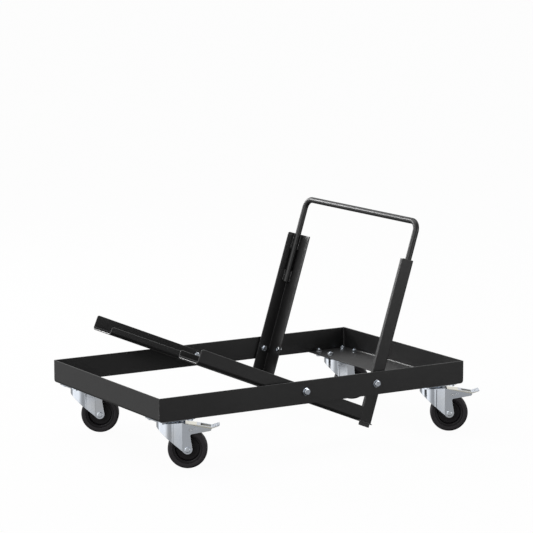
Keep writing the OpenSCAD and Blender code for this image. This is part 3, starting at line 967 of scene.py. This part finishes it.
@dataclass
class BaseFrame:
    """Sheet steel base: two side plates, two end trays and their corner welds."""

    shop: Workshop
    sheet_edge: float = 0.0011
    seam_edge: float = 0.0009
    seam_slack: float = 2e-5
    bead: float = 0.0026
    ripple: float = 0.0021
    bead_seed: int = 11
    bead_inset: Span = (3.6, 0.6)  # millimetres from the end and from the side plate
    bead_ends: Span = (141.0, 188.0)  # millimetres above the floor

    def on_seam(self, edge: bmesh.types.BMEdge) -> bool:
        """Whether an edge lies in the outer plane of an end wall."""
        ends = [self.shop.at(side * self.shop.end, 0.0, 0.0).x for side in SIGNS]
        return any(all(abs(v.co.x - x) < self.seam_slack for v in edge.verts) for x in ends)

    def build(self) -> None:
        """Dresses the sheets and lays the beads."""
        for name in ("front_side_plate", "rear_side_plate"):
            solid = Solid(name).round(self.sheet_edge, where=lambda e: not self.on_seam(e))
            # The rounded seams get the coat's pale specks, which are partly chipped coat and partly painted
            # glints.
            solid.round(self.seam_edge, where=self.on_seam, mark="seam")
            self.shop.dress(solid, name + "_sheet", BASE, Look.BLACK)
        for name in ("left_end_tray", "right_end_tray"):
            self.shop.dress(Solid(name).round(self.sheet_edge), name + "_sheet", BASE, Look.BLACK)
        x, y = self.shop.end - self.bead_inset[0], self.shop.inner - self.bead_inset[1]
        paths = [[self.shop.at(sx * x, sy * y, z) for z in self.bead_ends] for sx in SIGNS for sy in SIGNS]
        # The corner beads keep the recipe's share of pale specks, which are partly chipped coat and partly
        # painted glints.
        sizes = {"Radius": self.bead, "Spacing": self.ripple, "Seed": self.bead_seed}
        self.shop.grow(self.shop.weld, path_mesh("corner_seams", paths), "corner_weld_beads", BASE,
                       Look.BLACK, sizes, ["frame_welds"])


@dataclass
class Cradle:
    """Sloping cradle: two bent rails and two angle uprights."""

    shop: Workshop
    sheet_edge: float = 0.0011

    def build(self) -> None:
        """Dresses rails and uprights."""
        for side in ("front", "rear"):
            for part in ("rail", "upright"):
                solid = Solid(f"{side}_{part}").round(self.sheet_edge)
                self.shop.dress(solid, f"{side}_{part}_sheet", BASE, Look.BLACK)


@dataclass
class PushBar:
    """Bent round bar that joins the uprights, with its stitch welds. Its places are in millimetres.

    The heel is the uprights' lower corner, and the seat is the distance of the bar's middle from their walls.
    Foot, top and stitches are counted along the uprights. Flanks are the places of the stitches beside the
    bar's middle, outwards and away from the webs.
    """

    shop: Workshop
    heel: Span = (172.5, 49.6)
    lean: float = math.radians(17.3)
    seat: float = 11.05
    spacer: float = 5.0
    foot: float = 304.0
    top: float = 542.0
    stitches: tuple[Span, ...] = ((308.0, 334.0), (399.0, 435.0))
    flanks: tuple[Span, ...] = ((-7.0, -6.6), (6.6, 7.0))
    radius: float = 8.0 * MM
    bend: float = 26.0 * MM
    stitch: float = 2.7 * MM
    stitch_ripple: float = 2.4 * MM
    # Share of pale specks on the stitches, which are partly chipped coat and partly painted glints of the
    # welds.
    stitch_bare_and_glint: float = 0.75
    stitch_seed: int = 23

    @property
    def side(self) -> float:
        """Distance of the bar's legs from the trolley's middle plane, in millimetres."""
        return self.shop.inner - self.spacer - self.seat

    def spot(self, y: float, up: float, off: float = 0.0) -> Vector:
        """Place on the bar's plane.

        Args:
            y: Distance from the trolley's middle plane, in millimetres.
            up: Distance from the heel along the uprights, in millimetres.
            off: Further distance from the uprights' webs, in millimetres.

        Returns:
            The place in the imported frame.
        """
        across = -self.seat - off
        x = self.heel[0] + up * math.sin(self.lean) + across * math.cos(self.lean)
        z = self.heel[1] + up * math.cos(self.lean) - across * math.sin(self.lean)
        return self.shop.at(x, y, z)

    def build(self) -> None:
        """Sweeps the bar and lays the stitches."""
        path = [self.spot(-self.side, self.foot), self.spot(-self.side, self.top),
                self.spot(self.side, self.top), self.spot(self.side, self.foot)]
        self.shop.grow(self.shop.bar, path_mesh("bar_path", [path]), "push_bar", BASE, Look.BLACK,
                       {"Radius": self.radius, "Bend": self.bend}, ["handle_bar"])
        welds = [[self.spot(sy * (self.side + aside), up, off) for up in ends]
                 for sy in SIGNS for ends in self.stitches for aside, off in self.flanks]
        # The stitches carry pale specks, which are partly chipped coat and partly painted glints.
        self.shop.grow(self.shop.weld, path_mesh("bar_stitches", welds), "push_bar_weld_stitches", BASE,
                       Look.BLACK, {"Radius": self.stitch, "Spacing": self.stitch_ripple,
                                    "Bare And Glint": self.stitch_bare_and_glint, "Seed": self.stitch_seed})


@dataclass(frozen=True)
class HexSize:
    """Sizes of a hexagon bolt and its nut."""

    flats: float
    head: float
    nut: float
    radius: float
    pitch: float
    head_dish: float = 0.34  # share of the flats
    nut_bore: float = 1.02  # shares of the thread's radius
    nut_dish: float = 1.2
    end_gap: float = 0.0002

    def bolt_sizes(self, length: float, threaded: float) -> Sizes:
        """Inputs of the fastener recipe for a bolt.

        Args:
            length: Length under the head.
            threaded: Length of the thread.

        Returns:
            The inputs, by name.
        """
        return {"Across Flats": self.flats, "Height": self.head, "Dish": self.flats * self.head_dish,
                "Shank": length - self.end_gap, "Thread Radius": self.radius, "Thread Start": -length,
                "Thread Length": threaded, "Pitch": self.pitch}

    def nut_sizes(self) -> Sizes:
        """Inputs of the fastener recipe for a nut, by name."""
        return {"Across Flats": self.flats, "Height": self.nut, "Bore": self.radius * self.nut_bore,
                "Dish": self.radius * self.nut_dish}


M10 = HexSize(0.016, 0.0064, 0.0084, 0.005, 0.0015)
M8 = HexSize(0.013, 0.0053, 0.0065, 0.004, 0.00125)


@dataclass
class Hardware:
    """Bolts, washers, spacers and nuts of the base and the cradle.

    The turns are steps in radians from one fastener to the next.
    """

    shop: Workshop
    cradle: HexSize = M10
    caster: HexSize = M8
    cradle_bolt_turn: float = 0.37
    cradle_nut_turn: float = 0.61
    caster_bolt_turn: float = 0.43
    caster_nut_turn: float = 0.29
    threaded: float = 0.62  # share of a bolt's length
    ring_edge: float = 0.0003
    stop_bolt_edge: float = 0.0009
    stop_nut_edge: float = 0.0004

    def solids(self, node: str, way: Outward, turn: float) -> list[tuple[Vector, Vector, float, float]]:
        """Finds the separate solids of a node.

        Args:
            node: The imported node.
            way: Direction in which the free face looks, for a place.
            turn: Step of the turn from one solid to the next, in radians.

        Returns:
            Middle, direction, length along it and turn of each.
        """
        found = []
        for i, (low, high) in enumerate(Solid(node).islands()):
            middle = (low + high) / 2
            out = way(middle)
            found.append((middle, out, abs((high - low).dot(out)), i * turn))
        return found

    def bolts(self, node: str, size: HexSize, way: Outward, turn: float) -> None:
        """Makes bolts in the places of their solids.

        Args:
            node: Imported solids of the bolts.
            size: Their sizes.
            way: Direction from the shank to the head, for a place.
            turn: Step of the heads' turn from one bolt to the next, in radians.
        """
        found = self.solids(node, way, turn)
        length = found[-1][2] - size.head
        spots = [(middle + out * (reach / 2 - size.head), out, spin) for middle, out, reach, spin in found]
        self.shop.grow(self.shop.fastener, point_mesh(node + "_spots", spots), node + "_threaded", BASE,
                       Look.HARDWARE, size.bolt_sizes(length, length * self.threaded), [node])

    def nuts(self, node: str, size: HexSize, way: Outward, turn: float) -> None:
        """Makes nuts in the places of their solids.

        Args:
            node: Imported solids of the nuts.
            size: Their sizes.
            way: Direction in which the nut's free face looks, for a place.
            turn: Step of the nuts' turn from one to the next, in radians.
        """
        spots = [(middle - out * size.nut / 2, out, spin)
                 for middle, out, _, spin in self.solids(node, way, turn)]
        self.shop.grow(self.shop.fastener, point_mesh(node + "_spots", spots), node + "_chamfered", BASE,
                       Look.HARDWARE, size.nut_sizes(), [node])

    def outward(self, place: Vector) -> Vector:
        """Level direction from the trolley's middle plane to a place."""
        return Vector((0.0, math.copysign(1.0, place.y - self.shop.middle.y), 0.0))

    def build(self) -> None:
        """Makes every fastener of the base."""
        self.bolts("cradle_bolts", self.cradle, self.outward, self.cradle_bolt_turn)
        self.nuts("cradle_nuts", self.cradle, lambda p: -self.outward(p), self.cradle_nut_turn)
        self.bolts("caster_bolts", self.caster, lambda p: -UP, self.caster_bolt_turn)
        self.nuts("caster_nuts", self.caster, lambda p: UP, self.caster_nut_turn)
        for node in ("cradle_washers", "cradle_spacers", "caster_washers"):
            self.shop.dress(Solid(node).round(self.ring_edge), node + "_plated", BASE, Look.HARDWARE)
        bolts, nuts = Solid("stop_bolts").round(self.stop_bolt_edge, 3), Solid("stop_nuts")
        self.shop.dress(bolts, "stop_bolts_plated", BASE, Look.HARDWARE)
        self.shop.dress(nuts.round(self.stop_nut_edge), "stop_nuts_plated", BASE, Look.HARDWARE)


@dataclass
class Caster:
    """One swivel caster: plate and kingpin on the base, fork and axle on the swivel, wheel on the axle.

    The wheel's sizes, from radius to highlight_ring_half, are in millimetres. A profile's point is a radius and a
    place along the axle. The lip's radii are counted from the bore, those of the crown and the mould line
    from the tyre's radius, and the places of lip and crown from the tyre's side.
    """

    shop: Workshop
    corner: Corner
    radius: float = 50.0
    half: float = 16.0
    shoulder: float = 5.0
    shoulder_drop: float = 0.12
    shoulder_steps: int = 8
    bore: float = 37.0
    bore_gap: float = 0.05
    lip: tuple[Span, ...] = ((0.0, -1.2), (0.5, -0.4), (1.2, -0.1), (3.0, 0.0))
    crown: tuple[Span, ...] = ((-0.06, -8.0), (-0.02, -12.0))
    mould_line: tuple[Span, ...] = ((-0.02, 0.5), (0.0, 0.25))
    tread: float = 0.8
    centre_profile: tuple[Span, ...] = (
        (6.05, 17.7), (6.3, 17.9), (12.4, 17.9), (12.85, 17.6), (13.0, 17.1), (13.3, 6.4), (13.9, 5.2),
        (15.2, 4.6), (20.5, 4.5), (21.0, 4.9), (22.0, 4.9), (22.5, 4.5), (27.6, 4.5), (28.8, 4.8),
        (29.5, 5.7), (30.9, 11.9), (31.2, 12.9), (31.9, 13.5), (33.4, 13.9), (35.9, 14.4), (36.5, 14.3))
    centre_rim: float = 13.9
    # Radii of the rings that are painted paler as highlights, and half their width.
    marked: tuple[float, ...] = (31.5, 36.2, 21.5)
    highlight_ring_half: float = 0.5
    steps: int = 112
    wheel_smooth: float = 38.0
    plate_edge: float = 0.0007
    kingpin_edge: float = 0.0005
    sleeve_edge: float = 0.0003
    axle_half: float = 0.021
    axle_tail: float = 0.0015
    axle_thread: float = 0.011
    axle_turn: float = 0.26
    axle_nut_turn: float = 0.71
    lid: float = 0.119
    lid_slack: float = 5e-5
    lid_bore: float = 0.0065
    lid_roll: float = 0.0024
    crease: float = 0.0010
    crease_angles: Span = (15.0, 24.0)
    fork_edge: float = 0.0005
    fork_edge_from: float = 38.0
    centre: Vector = field(init=False)
    axis: Vector = field(init=False)
    pivot: Vector = field(init=False)

    def __post_init__(self) -> None:
        """Reads the places of the axle and the swivel, and the axle's direction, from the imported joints."""
        joints = {joint["name"]: joint for joint in frame["joints"]}
        roll, swivel = joints[self.name("roll")], joints[self.name("swivel")]
        self.centre, self.pivot = Vector(roll["pos_m"]), Vector(swivel["pos_m"])
        self.axis = Vector(roll["axis"]).normalized()

    def name(self, part: str) -> str:
        """Name of one of the caster's nodes, bodies, joints or pieces."""
        return f"{part}_{self.corner.value}"

    @property
    def forward(self) -> Vector:
        """Level direction from the swivel axis to the axle."""
        way = self.centre - self.pivot
        return Vector((way.x, way.y, 0.0)).normalized()

    def spot(self, along: float, across: float, up: float) -> Vector:
        """Place counted in millimetres from the axle, along the fork, across it and up."""
        return self.centre + (self.forward * along + self.axis * across + UP * up) * MM

    def turned(self, half: Sequence[Span], part: str, node: str, look: Look, tread: float = math.inf,
               marked: Sequence[float] = ()) -> None:
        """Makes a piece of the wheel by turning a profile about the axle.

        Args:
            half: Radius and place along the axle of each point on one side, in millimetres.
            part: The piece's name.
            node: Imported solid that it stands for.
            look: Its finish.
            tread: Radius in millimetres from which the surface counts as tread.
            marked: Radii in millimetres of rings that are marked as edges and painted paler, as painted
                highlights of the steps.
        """
        profile = [*half, *((a, -w) for a, w in reversed(half))]
        bm = bmesh.new()
        across = self.axis.cross(UP)
        rings = []
        for i in range(self.steps):
            turn = 2 * math.pi * i / self.steps
            out = UP * math.cos(turn) + across * math.sin(turn)
            rings.append([bm.verts.new(self.centre + (out * r + self.axis * w) * MM) for r, w in profile])
        marks = bm.loops.layers.float
        tread_mark, edge_mark = marks.new("tread"), marks.new("edge")
        count = len(profile)
        for here, there in zip(rings, rings[1:] + rings[:1]):
            for k in range(count):
                after = (k + 1) % count
                face = bm.faces.new((here[k], here[after], there[after], there[k]))
                reach = (profile[k][0] + profile[after][0]) / 2
                for loop in face.loops:
                    loop[tread_mark] = float(reach > tread)
                    # Faces at the given radii get the edge mark, which paints them paler as highlights.
                    loop[edge_mark] = float(any(abs(reach - e) < self.highlight_ring_half for e in marked))
        bmesh.ops.recalc_face_normals(bm, faces=bm.faces)
        mesh = finished(bm, self.name(part), self.wheel_smooth)
        self.shop.finishes.place(mesh, self.name(part), self.name("wheel"), look, [self.name(node)])

    def tyre(self) -> None:
        """Turns the tyre, with its crowned tread, mould line and rounded shoulders."""
        half, r, shoulder = self.half, self.radius, self.shoulder
        side = [(self.bore + a, half + w) for a, w in self.lip]
        for i in range(self.shoulder_steps + 1):
            turn = math.pi / 2 * i / self.shoulder_steps
            side.append((r - shoulder + shoulder * math.sin(turn) - self.shoulder_drop,
                         half - shoulder + shoulder * math.cos(turn)))
        side += [(r + a, half + w) for a, w in self.crown] + [(r + a, w) for a, w in self.mould_line]
        self.turned(side, "tyre_rubber", "tyre", Look.RUBBER, tread=r - self.tread)

    def core(self) -> None:
        """Turns the wheel centre: stepped rim, sloping dish, web and long hub, with paler rings on its steps
        as painted highlights.
        """
        side = [*self.centre_profile, (self.bore - self.bore_gap, self.centre_rim)]
        self.turned(side, "wheel_centre", "wheel_core", Look.PLASTIC, marked=self.marked)

    def axle(self) -> None:
        """Makes the axle bolt and its nut."""
        reach = 2 * self.axle_half + M8.nut + self.axle_tail
        for part, piece, way, turn, sizes in (
                ("axle_bolt", "axle_bolt_threaded", -self.axis, self.axle_turn,
                 M8.bolt_sizes(reach, self.axle_thread)),
                ("axle_nut", "axle_nut_chamfered", self.axis, self.axle_nut_turn, M8.nut_sizes())):
            spot = point_mesh(part + "_spot", [(self.centre + way * self.axle_half, way, turn)])
            self.shop.grow(self.shop.fastener, spot, self.name(piece), self.name("swivel"), Look.HARDWARE,
                           sizes, [self.name(part)])

    def on_lid(self, edge: bmesh.types.BMEdge) -> bool:
        """Whether an edge of the fork lies in its lid's upper face."""
        return all(abs(v.co.z - self.lid) < self.lid_slack for v in edge.verts)

    def round_pin(self, edge: bmesh.types.BMEdge) -> bool:
        """Whether an edge of the fork belongs to the bore for the kingpin."""
        return all((v.co.xy - self.pivot.xy).length < self.lid_bore for v in edge.verts)

    def fork(self) -> None:
        """Softens the fork's creases, rolls its lid's edge and rounds its sheet edges, in this order."""
        low, high = self.crease_angles
        solid = Solid(self.name("fork")).round(self.crease, low=low, high=high, mark="")
        solid.round(self.lid_roll, 4, where=lambda e: self.on_lid(e) and not self.round_pin(e), mark="")
        solid.round(self.fork_edge, low=self.fork_edge_from, where=lambda e: not self.on_lid(e))
        self.shop.dress(solid, self.name("fork_pressing"), self.name("swivel"), Look.PRESSING, smooth=high)

    def build(self) -> None:
        """Builds the caster."""
        for part, width, piece, body in (
                ("caster_plate", self.plate_edge, "top_plate", BASE),
                ("kingpin", self.kingpin_edge, "kingpin_turned", BASE),
                ("hub_sleeve", self.sleeve_edge, "sleeve_turned", self.name("swivel"))):
            self.shop.dress(Solid(self.name(part)).round(width), self.name(piece), body, Look.HARDWARE)
        self.fork()
        self.axle()
        self.tyre()
        self.core()
        if self.corner.braked:
            Brake(self.shop, self).build()


@dataclass
class Brake:
    """Pedal, pin and leaf spring of a braked caster.

    Places from passive_to to rib_half are in millimetres from the axle. Paddle is where the pedal's turned-up
    end starts, along the fork and up.
    """

    shop: Workshop
    caster: Caster
    pedal_edge: float = 0.0007
    shortest: float = 0.002
    pin_edge: float = 0.0004
    spring_edge: float = 0.0005
    passive_to: float = 33.0
    paddle: Span = (61.0, 56.0)
    paddle_slope: float = 5.8 / 18.0
    ribs: tuple[float, ...] = (64.5, 67.8, 71.1, 74.4)
    rib_half: float = 12.5
    rib_radius: float = 0.0007
    rib_sides: int = 12

    def along(self, place: Vector) -> float:
        """Distance of a place from the axle along the fork, in millimetres."""
        return (place - self.caster.centre).dot(self.caster.forward) / MM

    def pedal(self) -> None:
        """Rounds the pedal's long edges, stains its rear with yellow passivation and dulls its end."""
        name = self.caster.name
        solid = Solid(name("brake_pedal"))
        solid.round(self.pedal_edge, where=lambda e: e.calc_length() > self.shortest)
        solid.paint("yellow", lambda p: self.along(p) < self.passive_to)
        solid.paint("satin", lambda p: self.along(p) > self.paddle[0])
        self.shop.dress(solid, name("pedal_pressing"), name("brake"), Look.PRESSING)

    def grip(self) -> None:
        """Lays the ribs across the pedal's end."""
        low, level = self.paddle
        paths = []
        for along in self.ribs:
            up = level + (along - low) * self.paddle_slope
            paths.append([self.caster.spot(along, side * self.rib_half, up) for side in SIGNS])
        self.shop.grow(self.shop.bar, path_mesh("grip_paths", paths), self.caster.name("pedal_ribs"),
                       self.caster.name("brake"), Look.PRESSING,
                       {"Radius": self.rib_radius, "Bend": 0.0, "Sides": self.rib_sides})

    def build(self) -> None:
        """Builds the brake."""
        name, swivel = self.caster.name, self.caster.name("swivel")
        self.pedal()
        self.grip()
        pin = Solid(name("brake_pin")).round(self.pin_edge)
        self.shop.dress(pin, name("pedal_pin"), swivel, Look.HARDWARE)
        # The whole spring is marked as edge, which paints it in the light edge colour of zinc as a painted
        # highlight.
        spring = Solid(name("brake_spring")).round(self.spring_edge, 3).paint("edge").paint("satin")
        self.shop.dress(spring, name("leaf_spring"), swivel, Look.HARDWARE)


@dataclass(frozen=True)
class Lamp:
    """A soft round lamp: name, place and width in metres, power in watts."""

    name: str
    place: tuple[float, float, float]
    size: float
    power: float


@dataclass(frozen=True)
class Band:
    """A light part of the studio's walls.

    Right and ahead give the direction in which it lies, seen from the camera. Its light rises over the span,
    counted along that direction, and where it has a cut it fades over it, counted ahead.
    """

    right: float
    ahead: float
    span: Span
    strength: float
    cut: Span | None = None


@dataclass
class Studio:
    """Camera, pale floor and soft light. The camera's eye is in millimetres."""

    shop: Workshop
    eye: tuple[float, float, float] = (-3311.5, -5459.1, 1467.1)
    heading: Span = (0.52146, 0.85328)
    pitch: float = math.radians(9.11)
    lens: float = 165.4
    sensor: float = 36.0
    aim: Vector = field(default_factory=lambda: Vector((0.0, 0.0, 0.25)))
    floor: float = 120.0
    floor_cells: int = 4
    floor_shades: tuple[Colour, Colour] = ((0.60, 0.60, 0.60), (0.64, 0.64, 0.64))
    floor_drift: Grain = Grain(1.5)
    floor_white: float = 0.96
    lamps: tuple[Lamp, ...] = (
        Lamp("back_left", (-1.3, 3.4, 1.8), 1.2, 72.0),
        Lamp("key", (-3.2, -1.6, 2.6), 2.2, 34.0),
        Lamp("top", (0.2, 0.6, 3.4), 2.4, 24.0),
        Lamp("front_right", (2.0, -2.9, 1.0), 1.8, 22.0))
    backdrop: Band = Band(-0.35, 0.9, (0.10, 0.70), 0.29)
    strip: Band = Band(0.588, -0.809, (0.962, 0.984), 0.95)
    behind: Band = Band(0.0, -1.0, (0.60, 1.00), 0.33)
    left: Band = Band(-1.0, 0.0, (-0.05, 0.75), 1.15, (0.12, 0.45))
    side: Band = Band(0.966, -0.259, (0.84, 0.95), 0.20)
    ambient: float = 0.11
    below: Span = (-0.55, -0.20)
    below_least: float = 0.25
    ceiling: Span = (0.30, 0.95)
    ceiling_strength: float = 0.30
    sky: Span = (0.02, 0.28)
    sky_ahead: Span = (-0.10, 0.60)
    sky_strength: float = 0.55

    def camera(self) -> None:
        """Sets the camera up at the photograph's viewing angle."""
        data = bpy.data.cameras.new("camera")
        data.sensor_width, data.lens = self.sensor, self.lens
        camera = linked("camera", data)
        camera.location = self.shop.at(*self.eye)
        ahead = Vector((*(c * math.cos(self.pitch) for c in self.heading), -math.sin(self.pitch)))
        camera.rotation_euler = ahead.to_track_quat("-Z", "Y").to_euler()
        bpy.context.scene.camera = camera

    def ground(self) -> None:
        """Lays the floor, white to the camera apart from the shadow, and clear to reflections."""
        s = Surface("pale_floor")
        matt = s.add("ShaderNodeBsdfDiffuse", {},
                     {"Color": s.blend(*self.floor_shades, s.noise(self.floor_drift))})
        white = s.add("ShaderNodeEmission", {}, {"Color": WHITE, "Strength": 1.0})
        path = s.add("ShaderNodeLightPath")
        seen, mirrored = (Value(s, path.outputs[kind]) for kind in ("Is Camera Ray", "Is Glossy Ray"))
        both = s.add("ShaderNodeMixShader", {}, {0: seen * self.floor_white, 1: matt, 2: white})
        clear = s.add("ShaderNodeBsdfTransparent")
        done = s.add("ShaderNodeMixShader", {}, {0: mirrored, 1: both, 2: clear})
        s.add("ShaderNodeOutputMaterial", {}, {"Surface": done})
        bm, cells = bmesh.new(), self.floor_cells
        bmesh.ops.create_grid(bm, x_segments=cells, y_segments=cells, size=self.floor / 2)
        mesh = bpy.data.meshes.new("floor")
        bm.to_mesh(mesh)
        bm.free()
        mesh.materials.append(s.material)
        floor = linked("floor", mesh)

    def hang(self, lamp: Lamp) -> None:
        """Adds a lamp that looks at the trolley.

        Args:
            lamp: The lamp's sizes.
        """
        data = bpy.data.lights.new(lamp.name, "AREA")
        data.shape, data.size, data.energy = "DISK", lamp.size, lamp.power
        made = linked(lamp.name, data)
        made.location = lamp.place
        made.visible_camera = False
        made.rotation_euler = (self.aim - Vector(lamp.place)).to_track_quat("-Z", "Y").to_euler()

    def surround(self) -> None:
        """Makes the world: white to the camera, to everything else a studio with dark sides."""
        world = bpy.data.worlds.new("studio")
        world.use_nodes = True
        bpy.context.scene.world = world
        t = Tree(world.node_tree)
        t.nodes.nodes.clear()
        way = t.add("ShaderNodeSeparateXYZ", {}, {0: t.add("ShaderNodeTexCoord").outputs["Generated"]})
        x, y, z = (Value(t, way.outputs[i]) for i in range(3))
        ahead = x * self.heading[0] + y * self.heading[1]
        right = x * self.heading[1] - y * self.heading[0]
        walls: Any = self.ambient
        for band in (self.backdrop, self.strip, self.behind, self.left, self.side):
            light = (right * band.right + ahead * band.ahead).step(*band.span)
            if band.cut:
                light = light * (1.0 - ahead.step(*band.cut))
            walls = walls + light * band.strength
        lower = self.below_least + z.step(*self.below) * (1.0 - self.below_least)
        ceiling = z.step(*self.ceiling) * self.ceiling_strength
        sky = z.step(*self.sky) * ahead.step(*self.sky_ahead) * self.sky_strength
        level = walls * lower + ceiling + sky
        soft = t.add("ShaderNodeBackground", {}, {"Color": WHITE, "Strength": level})
        white = t.add("ShaderNodeBackground", {}, {"Color": WHITE, "Strength": 1.0})
        seen = Value(t, t.add("ShaderNodeLightPath").outputs["Is Camera Ray"])
        both = t.add("ShaderNodeMixShader", {}, {0: seen, 1: soft, 2: white})
        t.add("ShaderNodeOutputWorld", {}, {"Surface": both})

    def build(self) -> None:
        """Builds the studio."""
        bpy.context.scene.view_settings.view_transform = "Standard"
        self.camera()
        self.ground()
        self.surround()
        for lamp in self.lamps:
            self.hang(lamp)


def main() -> None:
    """Builds the trolley and its studio."""
    logging.basicConfig(level=logging.INFO, format="%(name)s: %(message)s")
    shop = Workshop()
    for part in (BaseFrame(shop), Cradle(shop), PushBar(shop), Hardware(shop)):
        part.build()
        LOG.info("%s is done", type(part).__name__)
    for corner in Corner:
        Caster(shop, corner).build()
        LOG.info("caster %s is done", corner.value)
    Studio(shop).build()


if __name__ == "__main__":
    main()
